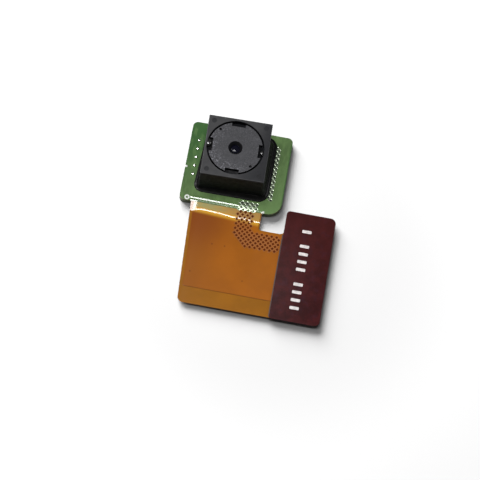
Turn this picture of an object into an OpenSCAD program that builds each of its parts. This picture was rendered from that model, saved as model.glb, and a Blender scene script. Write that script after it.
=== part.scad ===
// Fixed-focus camera module on a flexible tail.
// Z = 0 is the back of the board head. The optical axis is the Z axis. +Y points away from the tail.

/* [Lens holder] */
// Turn of the holder and of what it carries on the board, in degrees to the left
holder_turn = 1.3; // [0:0.1:1.5]
// Wall between the flange's bore and the holder's sides, before the offsets
holder_rim = 0.42; // [0.36:0.02:1.5]
// Offset of the holder's centre from the optical axis, to the right
holder_shift_x = 0.18; // [-0.2:0.01:0.2]
// Offset of the holder's centre from the optical axis, to the front
holder_shift_y = 0.08; // [-0.2:0.01:0.2]
// Radius along the holder's top edges
holder_edge_r = 0.14; // [0.05:0.01:0.15]
// Radius of the holder's upright corners
holder_corner_r = 0.1; // [0.05:0.01:0.3]
// Side wall round the sensor cavity
cavity_wall = 0.7; // [0.4:0.05:0.85]
// Height of the sensor cavity
cavity_h = 1.35; // [1.1:0.05:2]
// Thickness of the web that carries the filter
web_t = 0.65; // [0.5:0.05:1.2]
// Diameter of an ejector mark
ejector_d = 0.64; // [0.4:0.02:0.8]
// Depth of an ejector mark
ejector_depth = 0.03; // [0.02:0.01:0.06]
// Distance of an ejector mark's centre from the holder's sides
ejector_inset = 0.75; // [0.6:0.05:0.9]

/* [Holder adhesive] */
// Width of the adhesive foot on the left, at its front end
foot_left = 0.72; // [0.3:0.02:0.9]
// Width of the adhesive foot on the left, at its back end
foot_left_back = 0.16; // [0.16:0.02:0.9]
// Width of the adhesive foot on the right
foot_right = 1.05; // [0.3:0.05:1.1]
// Width of the adhesive foot at the front
foot_front = 0.6; // [0.3:0.02:0.8]
// Width of the adhesive foot at the back
foot_back = 0.45; // [0.3:0.02:0.6]
// Height that the adhesive climbs
foot_h = 1.1; // [0.6:0.05:1.6]
// Thickness of the adhesive at its outer edge
foot_lip = 0.08; // [0.05:0.01:0.2]
// Thickness of the adhesive where it ends on the holder's wall
foot_skin = 0.06; // [0.04:0.01:0.1]
// Corner radius of the adhesive's outer edge at the front left
foot_r = 1.1; // [0.6:0.05:1.4]
// Corner radius of the adhesive's outer edge on the right
foot_r_right = 1.5; // [0.6:0.05:1.6]
// Corner radius of the adhesive's outer edge at the back left
foot_r_back = 0.3; // [0.2:0.05:0.4]

/* [Lens barrel] */
// Wall of the barrel round the retainer ring
barrel_wall = 0.61; // [0.4:0.01:0.8]
// Depth of the barrel below the retainer ring
barrel_skirt = 0.46; // [0.1:0.02:0.8]
// Width of the flange beyond the barrel
flange_rim = 0.39; // [0.3:0.02:0.7]
// Thickness of the barrel's flange
flange_t = 0.75; // [0.7:0.05:1]
// Depth of the flange's face below the holder's top
flange_drop = 0.05; // [0.02:0.01:0.2]
// Gap under the flange that leaves room to focus
focus_gap = 0.12; // [0.05:0.01:0.3]
// Gap between the barrel's end and the web
back_gap = 0.09; // [0.05:0.01:0.3]
// Gap round the flange
flange_clear = 0.24; // [0.1:0.01:0.3]
// Gap round the barrel
barrel_clear = 0.03; // [0.02:0.01:0.06]
// Width of a spanner notch
notch_w = 1.85; // [1.2:0.05:2.3]
// Depth of a spanner notch, towards the axis
notch_in = 0.54; // [0.3:0.02:0.8]
// Height of a spanner notch
notch_h = 0.6; // [0.3:0.05:0.65]
// Diameter of a gate mark on the flange's face
gate_d = 0.36; // [0.2:0.02:0.44]
// Depth of a gate mark
gate_depth = 0.3; // [0.1:0.05:0.4]
// Distance of a gate mark's middle from the flange's edge
gate_in = 0.3; // [0.26:0.02:0.5]
// Diameter of the aperture's mouth
aperture_mouth_d = 1.9; // [1.5:0.05:2.3]
// Diameter of the aperture's throat
aperture_d = 1.24; // [0.9:0.02:1.5]
// Depth of the aperture's cone
aperture_cone_h = 0.36; // [0.2:0.02:0.4]
// Thickness of the barrel's front wall
front_wall = 0.55; // [0.45:0.05:0.7]
// Diameter of the glue dot in the left notch
left_dot_d = 0.95; // [0.6:0.05:1.1]
// Distance of the left glue dot from the middle of its notch, to the back
left_dot_y = 0.3; // [-0.4:0.05:0.4]
// Diameter of the glue dot in the right notch
right_dot_d = 0.7; // [0.6:0.05:1.1]
// Distance of the right glue dot from the middle of its notch, to the back
right_dot_y = -0.05; // [-0.4:0.05:0.4]
// Distance of a glue dot's top below the flange's face
dot_drop = 0.05; // [0.02:0.01:0.1]

/* [Lenses] */
// Diameter of the front lens
lens_d = 3.2; // [2.6:0.05:4]
// Growth in diameter from one lens to the next
lens_step = 0.58; // [0.4:0.02:0.7]
// Thickness of a lens at its edge
lens_edge_t = 0.38; // [0.3:0.02:0.5]
// Thickness of a baffle ring
spacer_t = 0.11; // [0.08:0.01:0.15]
// Radial width of a baffle ring
spacer_w = 0.55; // [0.4:0.05:0.7]
// Thickness of the retainer ring
retainer_t = 0.3; // [0.2:0.02:0.5]
// Radial width of the retainer ring
retainer_w = 0.6; // [0.4:0.05:0.8]
// Step in radius from the last lens out to the retainer ring
retainer_step = 0.1; // [0.05:0.01:0.2]
// Gap round each lens and ring in the barrel
lens_clear = 0.02; // [0.01:0.01:0.03]

/* [Sensor] */
// Width of the infrared filter
filter_w = 5.4; // [4.6:0.1:6.5]
// Thickness of the infrared filter
filter_t = 0.3; // [0.2:0.02:0.36]
// Gap round the filter in its seat
filter_clear = 0.06; // [0.04:0.01:0.1]
// Width of the ledge that the filter is glued to
filter_ledge = 0.5; // [0.3:0.05:0.7]
// Glue thickness above the filter
filter_glue_t = 0.04; // [0.02:0.01:0.06]
// Width of the image sensor
sensor_w = 4.9; // [4:0.1:5.9]
// Length of the image sensor
sensor_l = 4.3; // [3.7:0.1:5.2]
// Thickness of the image sensor
sensor_t = 0.3; // [0.2:0.02:0.4]
// Thickness of the glue under the sensor
die_attach_t = 0.03; // [0.02:0.01:0.05]
// Bond wires on each side of the sensor
wire_count = 12; // [6:1:13]
// Distance from one bond wire to the next
wire_pitch = 0.3; // [0.22:0.01:0.32]
// Diameter of a bond wire
wire_d = 0.03; // [0.025:0.005:0.04]
// Radius of a bond wire's loop
wire_loop_r = 0.2; // [0.16:0.01:0.22]
// Distance of a bond wire's foot from the sensor's edge, inwards
wire_inset = 0.12; // [0.06:0.01:0.2]
// Width of a bond wire's landing pad
finger_w = 0.14; // [0.1:0.01:0.18]
// Length of a bond wire's landing pad
finger_l = 0.36; // [0.2:0.02:0.4]
// Thickness of a bond wire's landing pad
finger_t = 0.02; // [0.01:0.005:0.03]
// Length of a capacitor
cap_l = 0.6; // [0.4:0.05:0.72]
// Width and height of a capacitor
cap_w = 0.3; // [0.2:0.02:0.36]
// Length of a capacitor's end cap
cap_end = 0.135; // [0.08:0.005:0.18]
// Gap between the sensor and the capacitors
cap_gap = 0.4; // [0.2:0.05:0.5]
// Distance from one capacitor to the next
cap_pitch = 1.5; // [0.8:0.1:2]

/* [Board head] */
// Board beyond the holder on the left
margin_left = 2.19; // [1.8:0.05:4]
// Board beyond the holder on the right
margin_right = 2.99; // [2.4:0.05:5]
// Board beyond the holder at the front
margin_front = 2.07; // [1.7:0.05:4]
// Board beyond the holder at the back
margin_back = 0.88; // [0.7:0.02:3]
// Thickness of the backing plate
plate_t = 0.85; // [0.7:0.01:1.2]
// Thickness of the green cover layer
mask_t = 0.06; // [0.04:0.01:0.1]
// Corner radius of the board
board_r = 0.7; // [0.3:0.05:1]
// Corner radius at the board's front right corner
board_r_front_right = 1.9; // [0.3:0.05:2.2]
// Diameter of a test pad
pad_d = 0.42; // [0.3:0.02:0.5]
// Height of the tinned pads
pad_t = 0.04; // [0.02:0.01:0.06]
// Test pads in the row
pad_count = 5; // [1:1:6]
// Distance from one test pad to the next
pad_pitch = 1.24; // [1:0.05:1.6]
// Distance of the pads' row from the adhesive
pad_gap = 0.26; // [0.26:0.02:0.7]
// Outer diameter of the ring pad
ring_d = 0.72; // [0.6:0.02:0.78]
// Hole of the ring pad
ring_hole_d = 0.3; // [0.2:0.02:0.4]
// Distance of the ring pad from the board's left side
ring_x = 1.04; // [0.8:0.02:1.2]
// Distance of the ring pad from the board's front side
ring_y = 0.4; // [0.4:0.01:0.6]
// Width of a stub of the plating bars
stub_w = 0.3; // [0.15:0.01:0.4]

/* [Flexible tail] */
// Thickness of the film
film_t = 0.12; // [0.1:0.01:0.2]
// Length of the step, front to back
bend_run = 0.95; // [0.8:0.05:1.4]
// Distance of the neck's left side from the board's left side
neck_left = 1.66; // [1:0.05:2]
// Distance of the neck's right side from the board's right side
neck_right = 2.44; // [1.6:0.02:3]
// Length of the tail from the board's front edge
tail_l = 14.1; // [11.5:0.1:20]
// Amount that the tail's left side slants inwards
tail_slant = 0.67; // [0:0.01:1]
// Distance from the board's front edge to the notch's floor
notch_depth = 2.3; // [1.8:0.05:3]
// Distance of the notch's floor from the stiffening plate's back end, at least
notch_plate_min = 1.1; // [0.9:0.05:1.5]
// Corner radius of the notch at the neck
notch_r_neck = 0.35; // [0.1:0.05:0.5]
// Corner radius of the notch at the stiffening plate
notch_r_plate = 0.6; // [0.1:0.05:0.8]
// Corner radius at the tail's end
tail_r = 0.7; // [0.3:0.05:1]
// Thickness of the amber cover film
coverlay_t = 0.04; // [0.02:0.01:0.06]
// Distance of the cover film's edge from the tail's end
coverlay_end = 2.25; // [1:0.05:3]
// Distance of the cover film's edge from the tail's left side
coverlay_side = 0.42; // [0.2:0.02:0.8]
// Distance of the cover film's edge from the neck's right side and the notch
coverlay_right = 0.15; // [0.05:0.01:0.3]

/* [Connector end] */
// Width of the stiffening plate
stiffener_w = 6.65; // [5.5:0.05:9]
// Length of the stiffening plate
stiffener_l = 15.3; // [12.6:0.05:20]
// Amount that the plate reaches beyond the tail's end
stiffener_over = 0.15; // [0.05:0.01:0.3]
// Thickness of the stiffening plate
stiffener_t = 0.3; // [0.15:0.01:0.5]
// Gap between the board and the plate, left to right
stiffener_gap = 0.86; // [0.5:0.02:2]
// Thickness of the plate's bonding film
bond_t = 0.04; // [0.02:0.01:0.08]
// Amount that the bonding film shows beside the plate
bond_bleed = 0.14; // [0.05:0.01:0.3]
// Amount that the film is smaller than the plate all round
film_inset = 0.08; // [0.04:0.01:0.2]
// Width of the plug
plug_w = 3.6; // [3:0.05:4.4]
// Height of the plug, and of the tail above the plane of the board's back
plug_h = 0.55; // [0.45:0.01:0.66]
// Contacts in each of the plug's two rows
contact_count = 20; // [6:1:20]
// Distance from one contact to the next
contact_pitch = 0.5; // [0.4:0.01:0.51]
// Width of a contact
contact_w = 0.2; // [0.15:0.01:0.24]
// Thickness of a contact's strip
contact_t = 0.08; // [0.05:0.01:0.1]
// Length of a contact's solder foot
contact_foot = 0.45; // [0.3:0.05:0.6]
// Plug body beyond the last contact at each end
plug_end = 1.1; // [0.9:0.05:1.3]
// Thickness of the plug's long walls
plug_wall = 0.72; // [0.5:0.02:0.86]
// Depth of the plug's groove
groove_depth = 0.36; // [0.25:0.01:0.4]
// Length of the groove beyond the last contact at each end
groove_end = 0.35; // [0.2:0.05:0.5]
// Width of a solder anchor
anchor_w = 2.2; // [1.2:0.1:2.6]
// Thickness of a solder anchor's sheet
anchor_t = 0.12; // [0.08:0.01:0.15]
// Length of a solder anchor's foot
anchor_foot = 0.3; // [0.15:0.05:0.5]

/* [Copper hatch] */
// Distance from one hatch line to the next
hatch_pitch = 0.47; // [0.4:0.01:0.6]
// Width of a hatch line
hatch_line = 0.16; // [0.12:0.01:0.2]
// Width of the unbroken line round the hatch
hatch_edge = 0.05; // [0.03:0.01:0.1]
// Height of the hatch above the surface
hatch_t = 0.02; // [0.015:0.005:0.04]
// Width of the hatched strip right of the holder's adhesive
hatch_side_w = 0.68; // [0.5:0.02:1]
// Distance of that strip's back end from the holder's back
hatch_side_end = 0.5; // [0:0.05:1]
// Width of the hatched strip in front of the holder and down the step
hatch_neck_w = 2.5; // [2:0.05:3]
// Width of the hatched strip on the tail
hatch_tail_w = 2.2; // [1.5:0.05:2.5]
// Distance of the hatched strip's left side from the neck's right side
hatch_left = 3.2; // [3:0.05:3.6]
// Distance of the strip's turn on the tail from the notch's floor
hatch_turn = 0.65; // [0.3:0.05:1]
// Corner cut at the strip's turn
hatch_chamfer = 1.76; // [0.5:0.02:2]

/* [Hidden] */
$fn = 64;
// Points on each rounded corner of an outline
ARC_STEPS = 8;
// Facets across the holder's rounded top edge
EDGE_STEPS = 4;
// Facets up the adhesive's hollow slope
SLOPE_STEPS = 5;
// Overshoot of a cutting shape
CUT = 0.1;
// Length by which the step's ends lap what they join
STEP_LAP = 0.2;
// Thickness of the slices that a rounded or sloping form is blended from
LAYER_T = 0.01;
// Gap kept between a strip of hatch and what it runs along
HATCH_GAP = 0.02;

// Lens stack, counted from the front: height of each lens's front and back dome, hollow if below zero
LENS_DOMES = [[0.13, -0.1], [-0.14, 0.05], [-0.12, 0.06], [-0.16, -0.12]];
LENS_COUNT = len(LENS_DOMES);
// Gap between a dome's rim and the ring or throat round it
DOME_GAP = 0.06;
stack_h = LENS_COUNT*lens_edge_t + (LENS_COUNT - 1)*spacer_t;
last_lens_d = lens_d + (LENS_COUNT - 1)*lens_step;
retainer_d = last_lens_d + 2*retainer_step;

// Barrel and the bores that it sits in
barrel_d = retainer_d + 2*lens_clear + 2*barrel_wall;
barrel_l = front_wall + stack_h + retainer_t + barrel_skirt;
flange_d = barrel_d + 2*flange_rim;
flange_bore_d = flange_d + 2*flange_clear;
barrel_bore_d = barrel_d + 2*barrel_clear;

// Heights of the board head's layers
film_z = plate_t;
mask_z = film_z + film_t;
deck_z = mask_z + mask_t;

// Heights in the holder
web_z = deck_z + cavity_h;
bore_z = web_z + web_t;
barrel_z = bore_z + back_gap;
flange_top = barrel_z + barrel_l;
holder_top = flange_top + flange_drop;
seat_z = flange_top - flange_t - focus_gap;
stack_top = flange_top - front_wall;
retainer_top = stack_top - stack_h;

// Sides of the holder
holder_w = flange_bore_d + 2*holder_rim;
holder_x0 = holder_shift_x - holder_w/2;
holder_x1 = holder_shift_x + holder_w/2;
holder_y0 = -holder_shift_y - holder_w/2;
holder_y1 = -holder_shift_y + holder_w/2;

// Corner radii of the adhesive's outer edge, from its front left corner
FOOT_R = [foot_r, foot_r_right, foot_r_right, foot_r_back];

// Sides of the board head
board_x0 = holder_x0 - margin_left;
board_x1 = holder_x1 + margin_right;
board_y0 = holder_y0 - margin_front;
board_y1 = holder_y1 + margin_back;
BOARD_R = [board_r, board_r_front_right, board_r, board_r];

// Tail film
tail_z = plug_h;
tail_top = tail_z + film_t;
tail_drop = film_z - tail_z;
bend_y = board_y0 - bend_run;
tail_y0 = board_y0 - tail_l;
neck_x0 = board_x0 + neck_left;
neck_x1 = board_x1 - neck_right;
tail_x0 = neck_x0 + tail_slant;

// Stiffening plate
plate_x0 = board_x1 + stiffener_gap;
plate_x1 = plate_x0 + stiffener_w;
plate_y0 = tail_y0 - stiffener_over;
plate_y1 = plate_y0 + stiffener_l;
plate_z = tail_top + bond_t;
notch_y = min(board_y0 - notch_depth, plate_y1 - notch_plate_min);
// Corner radii of the plate, from its front left corner
PLATE_R = [0.2, 0.75, 0.75, 0.45];

// Plug
plug_x = (plate_x0 + plate_x1)/2;
plug_y = (plate_y0 + plate_y1)/2;
contact_span = (contact_count - 1)*contact_pitch;
plug_l = contact_span + 2*plug_end;

// Filter and sensor
window_w = filter_w - 2*filter_ledge;
seat_depth = filter_t + filter_glue_t;
die_z = deck_z + die_attach_t;
wire_x = sensor_w/2 - wire_inset;
finger_x = wire_x + 2*wire_loop_r;

// Hatched strips
hatch_x0 = neck_x1 - hatch_left;
hatch_side_x0 = holder_x1 + foot_right + HATCH_GAP;
hatch_front_y1 = holder_y0 - foot_front - HATCH_GAP;
hatch_turn_y = notch_y - hatch_turn;
hatch_low_y = hatch_turn_y - hatch_tail_w;

function lens_top(i) = stack_top - i*(lens_edge_t + spacer_t);
function lens_diameter(i) = lens_d + i*lens_step;

function unit(v) = v/norm(v);

function turned(v, a) = [v.x*cos(a) - v.y*sin(a), v.x*sin(a) + v.y*cos(a)];

// Points that round corner b, between its neighbours a and c, to radius r or to what the edges leave room for
function corner_arc(a, b, c, r) =
    let(u = unit(a - b), v = unit(c - b), half = acos(u*v)/2)
    let(fit = min(r, tan(half)*min(norm(a - b), norm(c - b))/2))
    let(centre = b + unit(u + v)*fit/sin(half), first = b + u*fit/tan(half) - centre)
    let(turn = cross(u, v) > 0 ? -1 : 1, sweep = turn*(180 - 2*half))
    r <= 0 ? [b] : [for (i = [0:ARC_STEPS]) centre + turned(first, sweep*i/ARC_STEPS)];

// Outline with every corner rounded to its own radius
function rounded(p, r) = let(n = len(p))
    [for (i = [0:n - 1]) each corner_arc(p[(i + n - 1) % n], p[i], p[(i + 1) % n], r[i])];

function box_points(x0, y0, x1, y1) = [[x0, y0], [x1, y0], [x1, y1], [x0, y1]];

module rounded_box(x0, y0, x1, y1, r, z, h) {
    translate([0, 0, z]) linear_extrude(h) polygon(rounded(box_points(x0, y0, x1, y1), r));
}

module box(x0, y0, z0, x1, y1, z1) {
    translate([x0, y0, z0]) cube([x1 - x0, y1 - y0, z1 - z0]);
}

// A box centred on x and y
module centred_box(x, y, z, w, l, h) {
    translate([x - w/2, y - l/2, z]) cube([w, l, h]);
}

module ring(d, hole_d, z, h) {
    translate([0, 0, z]) difference() {
        cylinder(d = d, h = h);
        translate([0, 0, -CUT]) cylinder(d = hole_d, h = h + 2*CUT);
    }
}

// ---- Board head ----

module board_plate() {
    color("darkolivegreen") rounded_box(board_x0, board_y0, board_x1, board_y1, BOARD_R, 0, plate_t);
}

module head_mask() {
    color("olivedrab") rounded_box(board_x0, board_y0, board_x1, board_y1, BOARD_R, mask_z, mask_t);
}

// ---- Tail ----

// Line of the step, offset upwards by off from a middle that starts at height z: flat, down, flat to end_y
function step_line(z, off, end_y) =
    let(angle = 2*atan(tail_drop/bend_run), r = bend_run/(2*sin(angle)))
    let(high = [board_y0, z - r], low = [bend_y, z - tail_drop + r])
    concat([[board_y0 + STEP_LAP, z + off]],
        [for (i = [0:ARC_STEPS]) let(a = 90 + angle*i/ARC_STEPS) high + (r + off)*[cos(a), sin(a)]],
        [for (i = [1:ARC_STEPS]) let(a = angle - 90 - angle*i/ARC_STEPS) low + (r - off)*[cos(a), sin(a)]],
        [[end_y, z - tail_drop + off]]);

function reversed(p) = [for (i = [len(p) - 1:-1:0]) p[i]];

// Sheet between x0 and x1 that lies z0 to z1 above the film's top on the board, and follows the step
module stepped_sheet(x0, x1, z0, z1, end_y) {
    points = concat(step_line(mask_z, z1, end_y), reversed(step_line(mask_z, z0, end_y)));
    translate([x0, 0, 0]) rotate([90, 0, 90]) linear_extrude(x1 - x0) polygon(points);
}

// Outline of the tail from the step to its end, with its notch beside the neck
module tail_outline() {
    inner_x0 = plate_x0 + film_inset;
    inner_x1 = plate_x1 - film_inset;
    inner_y1 = plate_y1 - film_inset;
    points = [[neck_x0, bend_y], [tail_x0, tail_y0], [inner_x1, tail_y0], [inner_x1, inner_y1],
        [inner_x0, inner_y1], [inner_x0, notch_y], [neck_x1, notch_y], [neck_x1, bend_y]];
    polygon(rounded(points, [0, tail_r, PLATE_R[1], PLATE_R[2], PLATE_R[3], notch_r_plate, notch_r_neck, 0]));
}

module flex_film() {
    color("orange") {
        rounded_box(board_x0, board_y0, board_x1, board_y1, BOARD_R, film_z, film_t);
        stepped_sheet(neck_x0, neck_x1, -film_t, 0, bend_y - STEP_LAP);
        translate([0, 0, tail_z]) linear_extrude(film_t) tail_outline();
    }
}

// Cover film from the board's edge, down the step, to its own edge above the tail's end
module tail_coverlay() {
    slant = tail_slant/(bend_y - tail_y0);
    end_y = tail_y0 + coverlay_end;
    side_top = neck_x0 + coverlay_side;
    side_end = side_top + slant*(bend_y - end_y);
    right = neck_x1 - coverlay_right;
    edge_x = plate_x0 - bond_bleed;
    points = [[side_top, bend_y], [side_end, end_y], [edge_x, end_y], [edge_x, notch_y - coverlay_right],
        [right, notch_y - coverlay_right], [right, bend_y]];
    color("goldenrod") {
        difference() {
            stepped_sheet(side_top, right, 0, coverlay_t, bend_y - STEP_LAP);
            box(board_x0, board_y0, 0, board_x1, board_y1, holder_top);
        }
        translate([0, 0, tail_top]) linear_extrude(coverlay_t)
            polygon(rounded(points, [0, notch_r_neck, 0, 0, notch_r_neck, 0]));
    }
}

// ---- Copper hatch and pads ----

// Diamond holes of the hatch over a rectangle
module hatch_holes(x0, y0, x1, y1) {
    side = hatch_pitch - hatch_line;
    step = hatch_pitch*sqrt(2);
    columns = ceil((x1 - x0)/step);
    rows = ceil(2*(y1 - y0)/step);
    for (row = [0:rows], column = [0:columns])
        translate([x0 + (column + (row % 2)/2)*step, y0 + row*step/2])
            rotate(45) square(side, center = true);
}

// Hatch inside an outline, with an unbroken line along its edge
module hatch_pattern(outline, inset) {
    xs = [for (p = outline) p.x];
    ys = [for (p = outline) p.y];
    difference() {
        polygon(outline);
        intersection() {
            hatch_holes(min(xs), min(ys), max(xs), max(ys));
            polygon(inset);
        }
    }
}

module hatch_box(x0, y0, x1, y1) {
    e = hatch_edge;
    hatch_pattern(box_points(x0, y0, x1, y1), box_points(x0 + e, y0 + e, x1 - e, y1 - e));
}

// Strip from the board's edge down the neck, then right to the stiffening plate, drawn in by e
function tail_hatch_points(e) =
    let(left = hatch_x0 + e, low = hatch_low_y + e, turn_y = hatch_turn_y - e)
    let(end_x = plate_x0 - bond_bleed - e, chamfer = min(hatch_chamfer, hatch_tail_w))
    let(tail_right = hatch_x0 + hatch_tail_w - e, neck_right_x = hatch_x0 + hatch_neck_w - e)
    [[left, board_y0 - e], [left, low + chamfer], [left + chamfer, low], [end_x, low], [end_x, turn_y],
        [tail_right, turn_y], [tail_right, bend_y], [neck_right_x, bend_y], [neck_right_x, board_y0 - e]];

module ground_hatch() {
    color("peru") {
        translate([0, 0, deck_z]) linear_extrude(hatch_t) {
            hatch_box(hatch_side_x0, holder_y0, hatch_side_x0 + hatch_side_w, holder_y1 - hatch_side_end);
            hatch_box(hatch_x0, board_y0 + hatch_edge, hatch_x0 + hatch_neck_w, hatch_front_y1);
        }
        intersection() {
            stepped_sheet(hatch_x0 - CUT, plate_x0, coverlay_t, coverlay_t + hatch_t, hatch_low_y - CUT);
            translate([0, 0, tail_z]) linear_extrude(film_t + tail_drop + CUT)
                hatch_pattern(tail_hatch_points(0), tail_hatch_points(hatch_edge));
        }
    }
}

module test_pads() {
    x = holder_x0 - foot_left - pad_gap;
    middle_y = (holder_y0 + holder_y1)/2;
    color("silver") for (i = [0:pad_count - 1])
        translate([x, middle_y + (i - (pad_count - 1)/2)*pad_pitch, deck_z]) cylinder(d = pad_d, h = pad_t);
}

module ground_ring() {
    color("silver") translate([board_x0 + ring_x, board_y0 + ring_y, 0])
        ring(ring_d, ring_hole_d, deck_z, pad_t);
}

// Stubs of the plating bars at the board's left and front edges
module plating_stubs() {
    left_y = holder_y0 + 0.3*holder_w;
    color("silver") {
        box(board_x0, left_y, deck_z, board_x0 + stub_w, left_y + stub_w, deck_z + pad_t);
        box(neck_x1, board_y0, deck_z, neck_x1 + stub_w, board_y0 + stub_w, deck_z + pad_t);
    }
}

// ---- Lens holder and its adhesive ----

// Outer block with rounded top edges and corners
module holder_block() {
    hull() {
        holder_layer(0, deck_z);
        for (i = [0:EDGE_STEPS]) let(a = 90*i/EDGE_STEPS)
            holder_layer(holder_edge_r*(1 - cos(a)), holder_top - holder_edge_r*(1 - sin(a)) - LAYER_T);
    }
}

// Thin slice of the block, drawn in by inset
module holder_layer(inset, z) {
    r = max(holder_corner_r - inset, LAYER_T);
    rounded_box(holder_x0 + inset, holder_y0 + inset, holder_x1 - inset, holder_y1 - inset,
        [r, r, r, r], z, LAYER_T);
}

// Turns what sits in the holder with it
module turned_holder() {
    rotate(holder_turn) children();
}

module lens_holder() {
    centre = [(holder_x0 + holder_x1)/2, (holder_y0 + holder_y1)/2];
    mark = holder_w/2 - ejector_inset;
    seat_w = filter_w + 2*filter_clear;
    cavity_w = holder_w - 2*cavity_wall;
    color([0.16, 0.16, 0.17]) turned_holder() difference() {
        holder_block();
        // Sensor cavity
        centred_box(centre.x, centre.y, deck_z - CUT, cavity_w, cavity_w, cavity_h + CUT);
        // Filter seat and window in the web
        centred_box(0, 0, web_z - CUT, seat_w, seat_w, seat_depth + CUT);
        centred_box(0, 0, web_z, window_w, window_w, web_t + CUT);
        // Barrel bore and flange bore
        translate([0, 0, bore_z]) cylinder(d = barrel_bore_d, h = barrel_l);
        translate([0, 0, seat_z]) cylinder(d = flange_bore_d, h = barrel_l);
        for (sx = [-1, 1], sy = [-1, 1])
            translate([centre.x + sx*mark, centre.y + sy*mark, holder_top - ejector_depth])
                cylinder(d = ejector_d, h = ejector_depth + CUT);
    }
}

// Width of the adhesive beyond the holder at share t of its climb: a hollow curve from foot to skin
function foot_width(foot, t) = foot_skin + (foot - foot_skin)*(1 - sin(90*t));

// Outline of the adhesive at share t of its climb, before it turns with the holder
function foot_points(t) =
    let(front = holder_y0 - foot_width(foot_front, t), back = holder_y1 + foot_width(foot_back, t))
    let(right = holder_x1 + foot_width(foot_right, t))
    [[holder_x0 - foot_width(foot_left, t), front], [right, front], [right, back],
        [holder_x0 - foot_width(foot_left_back, t), back]];

// Slice of the adhesive at share t of its climb: its foot is square with the board, its top with the holder
module foot_layer(t, z, h) {
    rotate(holder_turn*t) translate([0, 0, z]) linear_extrude(h)
        polygon(rounded(foot_points(t), [for (r = FOOT_R) foot_skin + (r - foot_skin)*(1 - t)]));
}

// Slice where the slope has climbed to share t
module slope_layer(t) {
    foot_layer(t, deck_z + foot_lip + (foot_h - foot_lip - LAYER_T)*(1 - cos(90*t)), LAYER_T);
}

// Fillet of adhesive round the holder's foot
module seal_adhesive() {
    color([0.1, 0.1, 0.1]) difference() {
        union() {
            foot_layer(0, deck_z, foot_lip + LAYER_T);
            for (i = [1:SLOPE_STEPS]) hull() {
                slope_layer((i - 1)/SLOPE_STEPS);
                slope_layer(i/SLOPE_STEPS);
            }
        }
        turned_holder() hull() {
            holder_layer(0, deck_z - CUT);
            holder_layer(0, deck_z + foot_h + CUT);
        }
    }
}

// ---- Lens barrel ----

module spanner_notches() {
    for (a = [0:90:270]) rotate(a)
        translate([flange_d/2 - notch_in, -notch_w/2, flange_top - notch_h])
            cube([notch_in + CUT, notch_w, notch_h + CUT]);
}

// Round marks left where the moulding's two gates were cut off
module gate_marks() {
    for (a = [135, 315]) rotate(a) translate([flange_d/2 - gate_in, 0, flange_top - gate_depth])
        cylinder(d = gate_d, h = gate_depth + CUT);
}

// Bores for the lenses and the retainer ring, each wider than the one in front of it
module lens_bores() {
    for (i = [0:LENS_COUNT - 1]) lens_bore(lens_diameter(i), lens_top(i));
    lens_bore(retainer_d, retainer_top);
}

module lens_bore(d, top) {
    translate([0, 0, barrel_z - CUT]) cylinder(d = d + 2*lens_clear, h = top - barrel_z + CUT);
}

module lens_barrel() {
    color([0.25, 0.25, 0.27]) turned_holder() difference() {
        union() {
            translate([0, 0, barrel_z]) cylinder(d = barrel_d, h = barrel_l);
            translate([0, 0, flange_top - flange_t]) cylinder(d = flange_d, h = flange_t);
        }
        spanner_notches();
        gate_marks();
        lens_bores();
        // Aperture
        translate([0, 0, flange_top - aperture_cone_h])
            cylinder(d1 = aperture_d, d2 = aperture_mouth_d, h = aperture_cone_h);
        translate([0, 0, flange_top]) cylinder(d = aperture_mouth_d, h = CUT);
        translate([0, 0, stack_top - CUT]) cylinder(d = aperture_d, h = front_wall);
    }
}

// Dots of clear glue that bridge a notch's floor and the holder's wall: side, diameter and place
module lock_adhesive() {
    floor_z = flange_top - notch_h;
    color("whitesmoke") turned_holder()
        for (dot = [[-1, left_dot_d, left_dot_y], [1, right_dot_d, right_dot_y]]) intersection() {
            translate([dot[0]*flange_d/2, dot[2], flange_top - dot_drop - dot[1]/2]) sphere(d = dot[1]);
            translate([0, 0, floor_z]) cylinder(d = flange_bore_d, h = notch_h);
            centred_box(dot[0]*flange_d/2, 0, floor_z, 2*notch_in, notch_w, notch_h);
        }
}

// ---- Lenses and rings ----

// Half section of a spherical cap that stands sag high on a circle of radius c
module dome_section(c, sag) {
    r = (c*c + sag*sag)/(2*sag);
    intersection() {
        translate([0, sag - r]) circle(r = r, $fn = 720);
        square([c, sag + CUT]);
    }
}

// Free radius in front of lens number i
function free_radius(i) = (i == 0 ? aperture_d/2 : lens_diameter(i - 1)/2 - spacer_w) - DOME_GAP;

// Lens number i: a disc whose two faces each bulge out or are hollow
module lens(i) {
    front = LENS_DOMES[i][0];
    back = LENS_DOMES[i][1];
    top = lens_top(i);
    low = top - lens_edge_t;
    color("lightblue", 0.5) rotate_extrude() difference() {
        union() {
            translate([0, low]) square([lens_diameter(i)/2, lens_edge_t]);
            if (front > 0) translate([0, top]) dome_section(free_radius(i), front);
            if (back > 0) translate([0, low]) mirror([0, 1]) dome_section(free_radius(i + 1), back);
        }
        if (front < 0) translate([0, top]) mirror([0, 1]) dome_section(free_radius(i), -front);
        if (back < 0) translate([0, low]) dome_section(free_radius(i + 1), -back);
    }
}

module lens_1() lens(0);
module lens_2() lens(1);
module lens_3() lens(2);
module lens_4() lens(3);

// Baffle ring behind lens number i
module spacer(i) {
    d = lens_diameter(i);
    color("black") ring(d, d - 2*spacer_w, lens_top(i) - lens_edge_t - spacer_t, spacer_t);
}

module spacer_1() spacer(0);
module spacer_2() spacer(1);
module spacer_3() spacer(2);

module lens_retainer() {
    color("dimgray") ring(retainer_d, retainer_d - 2*retainer_w, retainer_top - retainer_t, retainer_t);
}

// ---- Filter and sensor ----

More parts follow.
